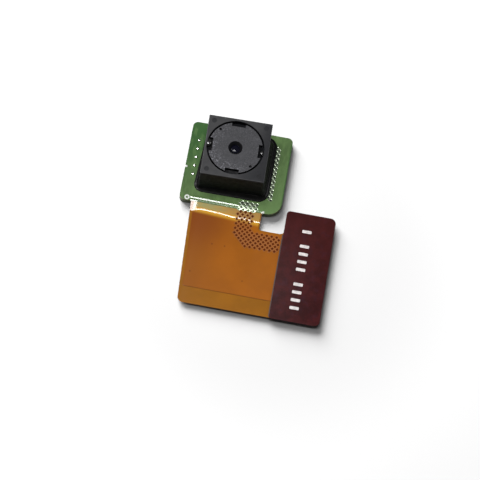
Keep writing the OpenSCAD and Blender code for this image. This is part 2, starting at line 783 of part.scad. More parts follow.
module ir_filter() {
    color("lightcyan", 0.6) turned_holder() centred_box(0, 0, web_z, filter_w, filter_w, filter_t);
}

module filter_adhesive() {
    color("gainsboro") turned_holder() difference() {
        centred_box(0, 0, web_z + filter_t, filter_w, filter_w, filter_glue_t);
        centred_box(0, 0, web_z + filter_t - CUT, window_w, window_w, filter_glue_t + 2*CUT);
    }
}

module sensor_die() {
    color("slategray") centred_box(0, 0, die_z, sensor_w, sensor_l, sensor_t);
}

module die_attach() {
    color("black") centred_box(0, 0, deck_z, sensor_w, sensor_l, die_attach_t);
}

// Half loop of wire from the sensor's top, then straight down to its landing pad
module bond_wire() {
    top = die_z + sensor_t;
    translate([wire_x + wire_loop_r, 0, top]) rotate([90, 0, 0])
        rotate_extrude(angle = 180) translate([wire_loop_r, 0]) circle(d = wire_d, $fn = 16);
    translate([finger_x, 0, deck_z + finger_t]) cylinder(d = wire_d, h = top - deck_z - finger_t, $fn = 16);
}

// Places its children at every bond wire
module at_wires() {
    for (side = [0, 180], i = [0:wire_count - 1])
        rotate(side) translate([0, (i - (wire_count - 1)/2)*wire_pitch, 0]) children();
}

module bond_wires() {
    color("gold") at_wires() bond_wire();
}

module bond_fingers() {
    color("gold") at_wires() centred_box(finger_x, 0, deck_z, finger_l, finger_w, finger_t);
}

// Places its children at every capacitor
module at_capacitors() {
    y = sensor_l/2 + cap_gap + cap_w/2;
    for (x = [-cap_pitch, 0, cap_pitch], s = [-1, 1]) translate([x, s*y, deck_z]) children();
}

module capacitor_bodies() {
    color("tan") at_capacitors() centred_box(0, 0, 0, cap_l - 2*cap_end, cap_w, cap_w);
}

module capacitor_terminals() {
    x = (cap_l - cap_end)/2;
    color("silver") at_capacitors() for (s = [-1, 1]) centred_box(s*x, 0, 0, cap_end, cap_w, cap_w);
}

// ---- Connector end ----

module connector_stiffener() {
    color("maroon") rounded_box(plate_x0, plate_y0, plate_x1, plate_y1, PLATE_R, plate_z, stiffener_t);
}

module stiffener_bond() {
    color("saddlebrown") difference() {
        rounded_box(plate_x0 - bond_bleed, tail_y0 + film_inset, plate_x1 - film_inset, plate_y1 - film_inset,
            PLATE_R, tail_top, bond_t);
        // The film has no tail to the left of the plate behind the notch's floor
        box(plate_x0 - bond_bleed - CUT, notch_y - film_inset, tail_top - CUT,
            plate_x0 + film_inset, plate_y1, plate_z + CUT);
    }
}

// Places its children at every contact of the plug, with x pointing outwards
module at_contacts() {
    for (side = [0, 180], i = [0:contact_count - 1])
        translate([plug_x, plug_y, 0]) rotate(side)
            translate([0, (i - (contact_count - 1)/2)*contact_pitch, 0]) children();
}

// One contact: solder foot, outer leg, strip over the wall's rim and inner blade
module contact() {
    outer = plug_w/2;
    inner = outer - plug_wall;
    rim_z = contact_t;
    foot_z = plug_h - contact_t;
    contact_strip(outer - contact_t, foot_z, outer + contact_foot, plug_h);
    contact_strip(outer - contact_t, rim_z, outer, plug_h);
    contact_strip(inner, rim_z, outer, rim_z + contact_t);
    contact_strip(inner, rim_z, inner + contact_t, groove_depth);
}

module contact_strip(x0, z0, x1, z1) {
    box(x0, -contact_w/2, z0, x1, contact_w/2, z1);
}

module connector_contacts() {
    color("gold") at_contacts() contact();
}

// Slot that one contact lies in: outside the wall, over its rim and down the groove
module contact_slot() {
    outer = plug_w/2;
    inner = outer - plug_wall;
    contact_strip(inner - CUT, -CUT, outer + CUT, 2*contact_t);
    contact_strip(outer - contact_t, -CUT, outer + CUT, plug_h + CUT);
    contact_strip(inner - CUT, -CUT, inner + contact_t, groove_depth);
}

// Plug body with a groove between its walls, and slots for the contacts and anchors
module connector_housing() {
    color([0.12, 0.12, 0.12]) difference() {
        centred_box(plug_x, plug_y, 0, plug_w, plug_l, plug_h);
        centred_box(plug_x, plug_y, -CUT,
            plug_w - 2*plug_wall, contact_span + 2*groove_end, groove_depth + CUT);
        at_contacts() contact_slot();
        at_anchors() anchor_sheet(CUT);
    }
}

// Places its children at both ends of the plug, with y pointing outwards
module at_anchors() {
    for (side = [0, 180]) translate([plug_x, plug_y, 0]) rotate(side) translate([0, plug_l/2, 0]) children();
}

// Upright sheet of a solder anchor, let into the plug's end
module anchor_sheet(over) {
    centred_box(0, (over - anchor_t)/2, anchor_t, anchor_w, anchor_t + over, plug_h - anchor_t + over);
}

// Solder anchors, each with a foot on the film
module connector_anchors() {
    color("silver") at_anchors() {
        anchor_sheet(0);
        centred_box(0, (anchor_foot - anchor_t)/2, plug_h - anchor_t,
            anchor_w, anchor_foot + anchor_t, anchor_t);
    }
}

board_plate();
flex_film();
head_mask();
tail_coverlay();
ground_hatch();
test_pads();
ground_ring();
plating_stubs();
connector_stiffener();
stiffener_bond();
lens_holder();
seal_adhesive();
lens_barrel();
lock_adhesive();
lens_1();
lens_2();
lens_3();
lens_4();
spacer_1();
spacer_2();
spacer_3();
lens_retainer();
ir_filter();
filter_adhesive();
sensor_die();
die_attach();
bond_wires();
bond_fingers();
capacitor_bodies();
capacitor_terminals();
connector_housing();
connector_contacts();
connector_anchors();
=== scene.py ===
"""Looks of a fixed-focus camera module on a flexible tail, as an add-on with one operator a piece."""

import math

import bmesh
import bpy
from mathutils import Euler, Matrix, Vector, noise


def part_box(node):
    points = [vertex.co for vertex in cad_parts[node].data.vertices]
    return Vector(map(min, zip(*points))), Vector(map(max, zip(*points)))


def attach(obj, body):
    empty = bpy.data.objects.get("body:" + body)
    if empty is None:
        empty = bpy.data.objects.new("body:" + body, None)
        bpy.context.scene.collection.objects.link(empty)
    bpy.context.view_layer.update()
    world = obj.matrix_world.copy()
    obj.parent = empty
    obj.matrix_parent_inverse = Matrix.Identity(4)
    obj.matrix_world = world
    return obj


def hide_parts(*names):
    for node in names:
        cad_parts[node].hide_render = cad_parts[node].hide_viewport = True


bl_info = {
    "name": "Camera module",
    "version": (1, 0, 0),
    "blender": (4, 5, 0),
    "location": "View3D > Sidebar > Camera module",
    "description": "Builds the finished surfaces of a small camera module round its packed frame",
    "category": "Object",
}

MM = 0.001                                  # a millimetre, in the frame's metres
BODY = "root"

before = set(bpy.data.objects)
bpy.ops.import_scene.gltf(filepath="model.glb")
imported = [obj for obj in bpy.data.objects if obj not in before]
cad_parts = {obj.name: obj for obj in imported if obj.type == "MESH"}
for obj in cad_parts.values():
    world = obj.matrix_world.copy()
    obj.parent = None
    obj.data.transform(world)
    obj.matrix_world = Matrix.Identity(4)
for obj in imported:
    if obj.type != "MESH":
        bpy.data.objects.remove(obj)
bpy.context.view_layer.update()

# Places taken from the frame, in metres
HOLDER_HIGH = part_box("lens_holder")[1]
MASK_LOW, MASK_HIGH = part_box("head_mask")
BOARD_LOW, BOARD_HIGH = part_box("board_plate")
FILM_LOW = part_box("flex_film")[0]
COVER_LOW, COVER_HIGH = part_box("tail_coverlay")
PLATE_LOW, PLATE_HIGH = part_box("connector_stiffener")
BARREL_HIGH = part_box("lens_barrel")[1]
BEAD_LOW, BEAD_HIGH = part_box("seal_adhesive")
FILM_T = 0.12 * MM
COVER_T = 0.04 * MM
DECK_Z = MASK_HIGH.z
TAIL_TOP = FILM_LOW.z + FILM_T

# Holder, whose sides are turned a little from the board's
HOLDER_TURN = math.radians(1.3)
HOLDER_MIDDLE = Vector((0.18, -0.08, 0)) * MM

# Outlines in millimetres that the frame's boxes don't give, with radii against the clock from the front left
ARC_STEPS = 8
BOARD_RADII = (0.7, 1.9, 0.7, 0.7)
PLATE_RADII = (0.2, 0.75, 0.75, 0.45)
NECK_LEFT, NECK_RIGHT = -4.6, 4.98
NECK_R = 0.05
TAIL_LEFT, TAIL_R = -3.93, 0.7
NOTCH_Y = -8.7
NOTCH_RADII = (0.6, 0.35)
FILM_INSET = 0.08
BEND_Y = -7.35
COVER_SIDE, COVER_GAP, COVER_TO_PLATE, COVER_R = 0.42, 0.15, 0.14, 0.35

# Cuts that let a sheet bend: axis (0 is x, 1 is y), first place, last place, and the spaces between them
HEAD_CUTS = ((1, -5.46, -6.36, 30), (0, -5.4, 5.4, 36))
FILM_CUTS = ((1, -6.0, -8.04, 48), (0, -4.5, 4.9, 32))
COVER_CUTS = ((1, -6.42, -8.04, 38), (0, -4.1, 4.8, 30))

# Step of the film in millimetres. Slopes near GLEAM_SLOPE mirror the overhead lamp, steeper ones don't
STEP_DROP = (MASK_LOW.z - TAIL_TOP) / MM
STEP_START = -6.22
STEP_RUN, STEP_RUN_LEFT = (0.95, 1.33), 1.27
STEP_SLOPE = 0.275
FOOT_RUN = 0.2
GLEAM_SLOPE = 0.194
RECOVERY = 1.8
RIDGE_Y = -5.82
RIDGE_BACK, RIDGE_FRONT = 0.3, 0.21
RIDGE_SLOPE = (0.2, 0.17)

# Stretches in x where the step or its ridge changes: a share is 0 at the first number, 1 at the second
STEP_LEFT_END, STEP_ACROSS = (-3.0, -4.1), (-3.5, 4.5)
RIDGE_LEFT, RIDGE_RIGHT, RIDGE_ACROSS = (-5.2, -4.8), (4.7, 4.2), (-3.5, 3.5)
HEAD_LEFT, HEAD_RIGHT = (-5.1, -4.7), (5.3, 5.0)

# Hatched fields (x from, x to, y from, y to), in millimetres
HATCH_CELLS = 60
HATCH_MIDDLE = (4.5, -4, 0)
HEAD_FIELDS = ((5.3, 6.0, -4.4, 3.6), (1.6, 4.35, -6.35, -5.05))
TAIL_FIELDS = ((1.7, 4.1, -11.55, -6.35), (1.7, 8.1, -11.6, -9.3))
TAIL_CHAMFER = -8.1
HATCH_LIFT = 0.003 * MM

# Small pieces, in millimetres. A profile lists insets and rises from the rim in: for the pads as shares of
# their radius and of PAD_RISE. A glue drop has a name, a place along the holder's sides and a width
PAD_COUNT = 5
PAD_RISE = 0.09
PAD_PROFILE = ((0.12, 0.35), (0.2, 0.3), (0.25, 0.22), (0.25, 0.1))
RING_MIDDLE, RING_THICK, RING_FLAT = 0.72, 0.28, 0.45
STUB_SIDE, STUB_Y, STUB_FLAT = 0.3, -1.63, 0.3
BARREL_EDGE, STUB_EDGE, PLATE_EDGE = 0.015, 0.03, 0.04
GLUE_DROPS = (("glue_left", -3.62, 0.33, 1.05), ("glue_right", 3.59, -0.05, 0.6))
GLUE_SHAPE = (0.8, 1.05, 0.42)
GLUE_DEPTH, GLUE_FOOT = 0.3, 0.08
BEAD_RADII = (1.2, 1.5, 1.5, 1.3)
BEAD_BACK_IN = 0.55
BEAD_LIP = 0.05
BEAD_PROFILE = ((0.04, 0.03), (0.08, 0.02), (0.1, 0.03), (0.1, 0.05), (0.1, 0.07), (0.1, 0.1),
                (0.1, 0.13), (0.1, 0.16), (0.1, 0.18), (0.1, 0.2), (0.12, 0.16))
MARK_BOX = (10.7, -18.9, 11.95, -18.48)
MARK_R, MARK_T = 0.12, 0.012
MARK_GAPS = (1.1, 1.1, 1.1, 2.1, 1.1, 1.1, 1.1, 2.1)

# Stage, in millimetres and milliwatts. Lamp: name, place, aim, size, power, whether it lights the floor
OBJECT_MIDDLE = (3, -8, 0)
LAMPS = (("overhead", (-48, -9, 300), (-48, -8, 0), (180, 42), 640, True),
         ("glint", (-50, 48, 300), (-50, 49, 0), (44, 44), 150, True),
         ("key_left", (-230, 70, 220), OBJECT_MIDDLE, (100, 100), 350, False),
         ("fill_right", (250, 60, 200), OBJECT_MIDDLE, (120, 120), 160, False))
FLOOR_LAMP = ("floor_lamp", (-211, 264, 211), OBJECT_MIDDLE, (300, 300), 15400)
FLOOR_SHADERS = ("board_plate", "green_layer", "film", "stiffening_plate")
FLOOR_Z = -0.02 * MM
PALE_SPOT, PALE_GAIN = ((4.3, -7.8), 17, 36), 1.16
WORLD_LIGHT = 0.12
CAMERA_AIM = (2.755, -10.31, 0)


def corner_mm(corner):
    """Place of a box's corner in plan, in millimetres"""
    return corner.x / MM, corner.y / MM


# ---- Values that a user would change ----

def colour_value(name, description, default):
    return bpy.props.FloatVectorProperty(name=name, description=description, subtype="COLOR",
                                         size=3, min=0, max=1, default=default)


def length_value(name, description, default_mm):
    return bpy.props.FloatProperty(name=name, description=description, subtype="DISTANCE", unit="LENGTH",
                                   min=0, default=default_mm * MM, precision=6)


def angle_value(name, description, degrees):
    return bpy.props.FloatProperty(name=name, description=description, subtype="ANGLE",
                                   default=math.radians(degrees))


class ModuleFinishes(bpy.types.PropertyGroup):
    """Colours of the module's surfaces"""
    holder: colour_value("Holder", "Moulded black holder", (0.0055, 0.006, 0.0085))
    barrel: colour_value("Barrel", "Face of the lens barrel", (0.030, 0.030, 0.034))
    epoxy: colour_value("Adhesive", "Black adhesive round the holder", (0.0035, 0.0035, 0.0035))
    mask: colour_value("Mask", "Green cover layer of the head", (0.085, 0.150, 0.050))
    film: colour_value("Film", "Bare amber film", (0.258, 0.094, 0.002))
    cover: colour_value("Cover", "Amber cover film over copper", (0.295, 0.086, 0.002))
    plate: colour_value("Plate", "Maroon stiffening plate", (0.044, 0.0062, 0.0072))
    ink: colour_value("Ink", "Pale marks on the plate", (0.62, 0.58, 0.57))


class ModuleSizes(bpy.types.PropertyGroup):
    """Sizes of what is modelled here"""
    hatch_pitch: length_value("Hatch pitch", "Distance from one hatch line to the next", 0.47)
    head_line: length_value("Head line", "Width of a hatch line on the head", 0.13)
    head_relief: length_value("Head relief", "Height of the head's hatch lines over their holes", 0.03)
    tail_line: length_value("Tail line", "Width of a hatch line on the tail", 0.1755)
    tail_relief: length_value("Tail relief", "Height of the tail's hatch lines over their holes", 0.003)


class StageSettings(bpy.types.PropertyGroup):
    """Camera, floor and lamps"""
    lens: bpy.props.FloatProperty(name="Lens", description="Focal length in millimetres", default=135, min=20)
    distance: length_value("Distance", "From the camera to the point that it looks at", 239.4)
    elevation: angle_value("Elevation", "Camera's height angle", 69.45)
    azimuth: angle_value("Azimuth", "Camera's turn to the right", 0.75)
    roll: angle_value("Roll", "Camera's turn about its own line of sight", 9.6)
    floor: colour_value("Floor", "Pale floor", (0.2, 0.2, 0.2))


GROUPS = {"camera_module_finishes": ModuleFinishes, "camera_module_sizes": ModuleSizes,
          "camera_module_stage": StageSettings}


def finishes():
    return bpy.context.scene.camera_module_finishes


def sizes():
    return bpy.context.scene.camera_module_sizes


def stage():
    return bpy.context.scene.camera_module_stage


# ---- Shader helpers ----

class Finish:
    """One material with a Principled shader, and short calls for the nodes that feed it"""

    def __init__(self, name, colour, roughness=0.5, **sockets):
        self.material = bpy.data.materials.new(name)
        self.material.use_nodes = True
        self.tree = self.material.node_tree
        self.shader = self.tree.nodes["Principled BSDF"]
        self.shader.inputs["Base Color"].default_value = (*colour, 1)
        self.shader.inputs["Roughness"].default_value = roughness
        for socket, value in sockets.items():
            title = socket.replace("_", " ").title().replace("Ior", "IOR")
            self.shader.inputs[title].default_value = value
        self.place = self.node("ShaderNodeTexCoord").outputs["Object"]
        self.bumps = None

    def node(self, kind, **values):
        made = self.tree.nodes.new(kind)
        for key, value in values.items():
            setattr(made, key, value)
        return made

    def link(self, source, target):
        self.tree.links.new(source, target)

    def noise(self, size_mm, detail=3.0, roughness=0.55, stretch=(1, 1, 1)):
        """Noise whose features are about size_mm across"""
        mapping = self.node("ShaderNodeMapping")
        mapping.inputs["Scale"].default_value = stretch
        self.link(self.place, mapping.inputs["Vector"])
        texture = self.node("ShaderNodeTexNoise")
        texture.inputs["Scale"].default_value = 1 / (size_mm * MM)
        texture.inputs["Detail"].default_value = detail
        texture.inputs["Roughness"].default_value = roughness
        self.link(mapping.outputs["Vector"], texture.inputs["Vector"])
        return texture.outputs["Fac"]

    def between(self, value, low, high, out_low=0.0, out_high=1.0):
        """Value from low to high mapped smoothly onto out_low to out_high"""
        ramp = self.node("ShaderNodeMapRange", interpolation_type="SMOOTHSTEP")
        numbers = {"From Min": low, "From Max": high, "To Min": out_low, "To Max": out_high}
        for socket, number in numbers.items():
            ramp.inputs[socket].default_value = number
        self.link(value, ramp.inputs["Value"])
        return ramp.outputs["Result"]

    def maths(self, operation, a, b=None):
        """One sum on numbers or sockets"""
        made = self.node("ShaderNodeMath", operation=operation)
        for socket, value in zip(made.inputs, (a, b)):
            if value is None:
                continue
            if isinstance(value, (int, float)):
                socket.default_value = value
            else:
                self.link(value, socket)
        return made.outputs["Value"]

    def axis(self, name):
        """Object coordinate along one axis, in metres"""
        parts = self.node("ShaderNodeSeparateXYZ")
        self.link(self.place, parts.inputs["Vector"])
        return parts.outputs[name]

    def spot(self, place_mm, inner_mm, outer_mm, strength):
        """Strength inside a round spot, fading to 0 at its rim"""
        away = self.node("ShaderNodeVectorMath", operation="DISTANCE")
        flat = self.node("ShaderNodeVectorMath", operation="MULTIPLY")
        flat.inputs[1].default_value = (1, 1, 0)
        self.link(self.place, flat.inputs[0])
        self.link(flat.outputs["Vector"], away.inputs[0])
        away.inputs[1].default_value = (place_mm[0] * MM, place_mm[1] * MM, 0)
        return self.between(away.outputs["Value"], inner_mm * MM, outer_mm * MM, strength, 0.0)

    def mix(self, share, first, second):
        """Colour between two, nearer the second as the share grows"""
        made = self.node("ShaderNodeMix", data_type="RGBA")
        if isinstance(share, (int, float)):
            made.inputs["Factor"].default_value = share
        else:
            self.link(share, made.inputs["Factor"])
        for socket, colour in (("A", first), ("B", second)):
            target = [s for s in made.inputs if s.name == socket and s.type == "RGBA"][0]
            if isinstance(colour, tuple):
                target.default_value = (*colour, 1)
            else:
                self.link(colour, target)
        return [s for s in made.outputs if s.type == "RGBA"][0]

    def colour(self, source):
        self.link(source, self.shader.inputs["Base Color"])

    def roughness(self, source):
        self.link(source, self.shader.inputs["Roughness"])

    def specular(self, source):
        self.link(source, self.shader.inputs["Specular IOR Level"])

    def bump(self, height, depth_mm, strength=1.0):
        """Adds a bump to those that came before"""
        made = self.node("ShaderNodeBump")
        made.inputs["Strength"].default_value = strength
        made.inputs["Distance"].default_value = depth_mm * MM
        self.link(height, made.inputs["Height"])
        if self.bumps is not None:
            self.link(self.bumps, made.inputs["Normal"])
        self.bumps = made.outputs["Normal"]
        self.link(self.bumps, self.shader.inputs["Normal"])


def scaled(colour, factor):
    """Colour made lighter or darker, never past white"""
    return tuple(min(1.0, c * factor) for c in colour)


# Tones that the finishes shade into
# Painted highlight for the holder's top edges
EDGE_HIGHLIGHT_GREY = (0.10, 0.10, 0.105)
# Painted sheen mixed with handling marks, for the holder's top face
HANDLING_AND_SHEEN_BLACK = (0.034, 0.034, 0.036)
# Near black: painted shade in the barrel's recesses, and the tone of the holder's ejector marks
MARK_AND_SHADE_BLACK = (0.006, 0.006, 0.007)
# Painted reflection, gold, below and on the step of the film
STEP_REFLECTION_GOLD = (0.52, 0.26, 0.02)
SHADED_GREEN = (0.034, 0.100, 0.025)
STEP_OLIVE = (0.27, 0.26, 0.10)
STEP_BROWN = (0.34, 0.19, 0.04)
# Painted shadow line along the cover's lower edge, and the tone of dark spots on the cover
SHADOW_LINE_AND_SPOTS = (0.10, 0.025, 0.002)
COPPER_PINK = (0.26, 0.105, 0.045)
COVER_SPOTS = ((-0.8, -11.8), (0.9, -11.8), (-3.0, -16.1), (4.0, -16.2))


# ---- Materials, one function each ----

def moulded_black():
    """Black moulding with four round ejector marks. Its top face is painted lighter as sheen, most to the
    left, mottled by handling, with a painted highlight along its edges
    """
    base = tuple(finishes().holder)
    f = Finish("moulded_black", base, 0.5)
    # Painted sheen: the top face is lighter than the sides, most to the left, in patches that stand for
    # handling
    top = f.between(f.axis("Z"), HOLDER_HIGH.z - 0.16 * MM, HOLDER_HIGH.z - 0.02 * MM)
    sheen_to_left = f.between(f.maths("ADD", f.axis("X"), f.maths("MULTIPLY", f.axis("Y"), -0.25)),
                       0.5 * MM, 4.2 * MM, 1.0, 0.12)
    patches = f.between(f.noise(1.4, 5, 0.6), 0.3, 0.7, 0.85, 1.12)
    share = f.maths("MULTIPLY", f.maths("MULTIPLY", sheen_to_left, patches), top)
    off = from_holder_middle(f)
    corner = [f.maths("SUBTRACT", one, 3.5 * MM) for one in off]
    squares = f.maths("ADD", *[f.maths("MULTIPLY", one, one) for one in corner])
    marks = f.between(f.maths("SQRT", squares), 0.28 * MM, 0.4 * MM, 0.7, 0.0)
    share = f.maths("MULTIPLY", share, f.maths("SUBTRACT", 1.0, marks))
    near_right = f.between(f.maths("SUBTRACT", f.axis("X"), f.axis("Y")), 2 * MM, 6 * MM, 0.3, 1.0)
    dulled = f.mix(f.maths("MULTIPLY", marks, near_right), f.mix(share, base, HANDLING_AND_SHEEN_BLACK), MARK_AND_SHADE_BLACK)
    # Painted highlight: a lighter band along the top face's edges
    rim = f.between(f.maths("MAXIMUM", *off), 4.13 * MM, 4.22 * MM, 0.0, 0.5)
    f.colour(f.mix(f.maths("MULTIPLY", rim, top), dulled, EDGE_HIGHLIGHT_GREY))
    f.specular(f.between(top, 0.0, 1.0, 0.08, 0.22))
    f.roughness(f.between(f.noise(0.5, 3), 0.3, 0.7, 0.45, 0.6))
    f.bump(f.noise(0.09, 2), 0.004, 0.5)
    return f.material


def from_holder_middle(f):
    """Distances from the holder's middle along its own two sides, without sign"""
    mapping = f.node("ShaderNodeMapping", vector_type="TEXTURE")
    mapping.inputs["Location"].default_value = Matrix.Rotation(HOLDER_TURN, 3, "Z") @ HOLDER_MIDDLE
    mapping.inputs["Rotation"].default_value = (0, 0, HOLDER_TURN)
    f.link(f.place, mapping.inputs["Vector"])
    parts = f.node("ShaderNodeSeparateXYZ")
    f.link(mapping.outputs["Vector"], parts.inputs["Vector"])
    return [f.maths("ABSOLUTE", parts.outputs[axis]) for axis in "XY"]


def barrel_black():
    """Black moulding, painted near black in its bores and notches as shade, grey and scuffed on its face"""
    worn = tuple(finishes().barrel)
    f = Finish("barrel_black", worn, 0.5, specular_ior_level=0.35)
    x, y = f.axis("X"), f.axis("Y")
    radius = f.maths("SQRT", f.maths("ADD", f.maths("MULTIPLY", x, x), f.maths("MULTIPLY", y, y)))
    rim = f.between(radius, 1.6 * MM, 3.0 * MM)
    left = f.between(f.maths("ADD", x, f.maths("MULTIPLY", y, 0.5)), 1.2 * MM, -2.0 * MM, 0.25, 1.0)
    scuffs = f.maths("MULTIPLY", f.between(f.noise(0.2, 4, 0.7), 0.51, 0.66), f.maths("MULTIPLY", rim, left))
    specks = f.between(f.noise(0.13, 2, 0.6), 0.48, 0.68, 0.0, 0.8)
    patches = f.mix(f.between(f.noise(1.1, 4), 0.35, 0.7), scaled(worn, 0.85), scaled(worn, 1.15))
    face = f.mix(specks, patches, scaled(worn, 1.8))
    face = f.mix(scuffs, face, scaled(worn, 5.0))
    # Painted shade: below the face, in the bores, notches and aperture cone, the colour is near black
    top = f.between(f.axis("Z"), BARREL_HIGH.z - 0.012 * MM, BARREL_HIGH.z - 0.003 * MM)
    f.colour(f.mix(top, MARK_AND_SHADE_BLACK, face))
    f.specular(f.between(top, 0.0, 1.0, 0.06, 0.3))
    f.roughness(f.between(f.noise(0.3, 3), 0.3, 0.7, 0.42, 0.6))
    f.bump(f.noise(0.1, 2), 0.004, 0.6)
    return f.material


def black_epoxy():
    """Black adhesive that set with a faint shine"""
    base = tuple(finishes().epoxy)
    f = Finish("black_epoxy", base, 0.45, specular_ior_level=0.05, coat_weight=0.2, coat_roughness=0.12)
    f.colour(f.mix(f.between(f.noise(0.8, 3), 0.3, 0.7), scaled(base, 0.7), scaled(base, 1.5)))
    f.bump(f.noise(0.5, 3), 0.03, 0.4)
    return f.material


def green_mask():
    """Green cover layer: streaked and glossy, with painted light to the front right and painted shade to the
    back left and along the right edge
    """
    base = tuple(finishes().mask)
    f = Finish("green_mask", base, 0.35, specular_ior_level=0.1, coat_weight=0.9, coat_roughness=0.07)
    wide = f.between(f.noise(2.6, 3), 0.3, 0.7)
    tone = f.mix(wide, scaled(base, 0.78), scaled(base, 1.10))
    # Painted light makes the layer paler to the front right, and painted shade makes it darker to the back
    # left
    corner = f.maths("SUBTRACT", f.axis("X"), f.axis("Y"))
    pale = f.between(corner, 2 * MM, 14 * MM, 0.0, 0.45)
    back_left_shade = f.between(corner, 0.0, -8 * MM, 0.0, 0.95)
    tone = f.mix(pale, tone, scaled(base, 1.7))
    tone = f.mix(back_left_shade, tone, SHADED_GREEN)
    streaks = f.between(f.noise(0.5, 3, 0.5, (1, 0.3, 1)), 0.45, 0.65, 0.0, 0.35)
    tone = f.mix(streaks, tone, scaled(base, 1.5))
    # Painted shade along the layer's right edge
    border = f.between(f.axis("X"), MASK_HIGH.x - 0.22 * MM, MASK_HIGH.x - 0.06 * MM, 0.0, 0.7)
    f.colour(f.mix(border, tone, SHADED_GREEN))
    f.bump(f.noise(0.7, 3), 0.004, 0.5)
    return f.material


def board_core():
    """Layered cut edge of the board"""
    f = Finish("board_core", (0.055, 0.075, 0.03), 0.6)
    layers = f.between(f.noise(0.3, 3, 0.5, (0.2, 0.2, 3)), 0.35, 0.65)
    f.colour(f.mix(layers, (0.04, 0.055, 0.022), (0.09, 0.11, 0.045)))
    f.bump(f.noise(0.12, 2), 0.01, 0.5)
    return f.material


def amber_film():
    """Bare glossy film"""
    base = tuple(finishes().film)
    f = Finish("amber_film", base, 0.3, specular_ior_level=0.08, coat_weight=0.6, coat_roughness=0.06)
    f.colour(f.mix(f.between(f.noise(2.5, 3), 0.3, 0.7), scaled(base, 0.92), scaled(base, 1.08)))
    f.bump(f.noise(1.2, 2), 0.006, 0.4)
    return f.material


def amber_cover(name="amber_cover", pink=0.0, gloss=0.8):
    """Amber cover film: redder to the upper left, olive where it leaves the board, with a painted gold
    reflection in a band below the step and in patches on it, and a painted shadow line along its lower edge
    """
    base = tuple(finishes().cover)
    f = Finish(name, base, 0.3, specular_ior_level=0.08, coat_weight=gloss, coat_roughness=0.06)
    warm = f.mix(f.between(f.noise(3.5, 3), 0.35, 0.65), scaled(base, 0.94), scaled(base, 1.06))
    x, y = f.axis("X"), f.axis("Y")
    upper = f.maths("MULTIPLY", f.between(y, -15 * MM, -8.5 * MM), f.between(x, 3.5 * MM, -3 * MM))
    west = f.mix(f.between(x, 1.0 * MM, -3.0 * MM), warm, scaled(base, 0.84))
    red = f.mix(upper, west, (base[0] * 0.66, base[1] * 0.54, base[2]))
    slant = f.maths("ADD", y, f.maths("MULTIPLY", x, 0.05))
    # Painted reflection: a gold band just below the foot of the step
    reflection_band = f.mix(f.between(slant, -8.15 * MM, -7.6 * MM), red, STEP_REFLECTION_GOLD)
    patches = f.between(f.noise(0.9, 2, 0.5, (1, 2, 1)), 0.35, 0.65)
    ramp_tone = f.mix(f.between(x, -2.5 * MM, 1.5 * MM), STEP_OLIVE, STEP_BROWN)
    # Painted reflection in patches on the step
    ramp_tone = f.mix(f.maths("MULTIPLY", patches, 0.3), ramp_tone, STEP_REFLECTION_GOLD)
    tone = f.mix(f.between(slant, -7.4 * MM, -7.0 * MM), reflection_band, ramp_tone)
    # Painted shadow: a dark line along the lower edge of the cover, where its step shades the film
    edge = f.between(y, COVER_LOW.y + 0.1 * MM, COVER_LOW.y + 0.02 * MM, 0.0, 0.65)
    tone = f.mix(edge, tone, SHADOW_LINE_AND_SPOTS)
    # Dark spots of vias or dirt on the cover
    for spot in COVER_SPOTS:
        tone = f.mix(f.spot(spot, 0.06, 0.16, 0.6), tone, SHADOW_LINE_AND_SPOTS)
    f.colour(f.mix(pink, tone, COPPER_PINK))
    f.bump(f.noise(1.0, 3), 0.004, 0.4)
    return f.material


def maroon_plate():
    """Mottled plate, a little lighter to the back, with its sides painted nearly black as shade"""
    base = tuple(finishes().plate)
    f = Finish("maroon_plate", base, 0.5, specular_ior_level=0.08)
    mottle = f.between(f.noise(1.3, 5, 0.65), 0.35, 0.68)
    tone = f.mix(mottle, scaled(base, 0.68), scaled(base, 1.28))
    tone = f.mix(f.between(f.noise(0.9, 3), 0.5, 0.7, 0.0, 0.35), tone, (0.035, 0.012, 0.024))
    ends = f.between(f.axis("Y"), PLATE_LOW.y, PLATE_HIGH.y, 0.0, 0.5)
    tone = f.mix(ends, tone, (base[0] * 1.2, base[1] * 1.7, base[2] * 1.3))
    # Painted shade: the plate's sides are nearly black
    side = f.between(f.axis("Z"), PLATE_HIGH.z - 0.01 * MM, PLATE_HIGH.z - 0.05 * MM, 0.0, 0.85)
    f.colour(f.mix(side, tone, (0.006, 0.002, 0.002)))
    f.bump(f.noise(0.18, 3), 0.006, 0.6)
    return f.material


def hatch_green():
    """Copper line seen through the green layer"""
    return plain("green_strand", (0.21, 0.25, 0.18), 0.26, 0.4, 0.25, metallic=0.7)


def hatch_green_gap():
    """Hole between two green lines"""
    return plain("green_gap", (0.016, 0.032, 0.012), 0.4, 0.4, 0.2, specular_ior_level=0.1)


def hatch_gap():
    """Hole between two copper lines under the amber cover"""
    return plain("copper_gap", (0.085, 0.016, 0.001), 0.5, 0.3, 0.2, specular_ior_level=0.03)


def plain(name, colour, roughness=0.5, grain_mm=0.3, contrast=0.15, **sockets):
    """Finish of one colour with a fine grain"""
    f = Finish(name, colour, roughness, **sockets)
    share = f.between(f.noise(grain_mm, 3), 0.35, 0.65)
    f.colour(f.mix(share, scaled(colour, 1 - contrast), scaled(colour, 1 + contrast)))
    f.bump(f.noise(grain_mm / 3, 2), 0.003, 0.4)
    return f.material


def metal(name, colour, roughness=0.25):
    """Plain finish of bare metal"""
    return plain(name, colour, roughness, 0.2, 0.08, metallic=1.0)


def glass(name, colour, roughness=0.02, level=0.5, clear=1.0):
    """Glass or clear glue. At clear 0 it only looks glassy, so that no bright dots come through it"""
    f = Finish(name, colour, roughness, ior=1.52, transmission_weight=clear, specular_ior_level=level)
    f.roughness(f.between(f.noise(0.8, 2), 0.4, 0.8, roughness, roughness + 0.02))
    return f.material


# ---- Mesh helpers ----

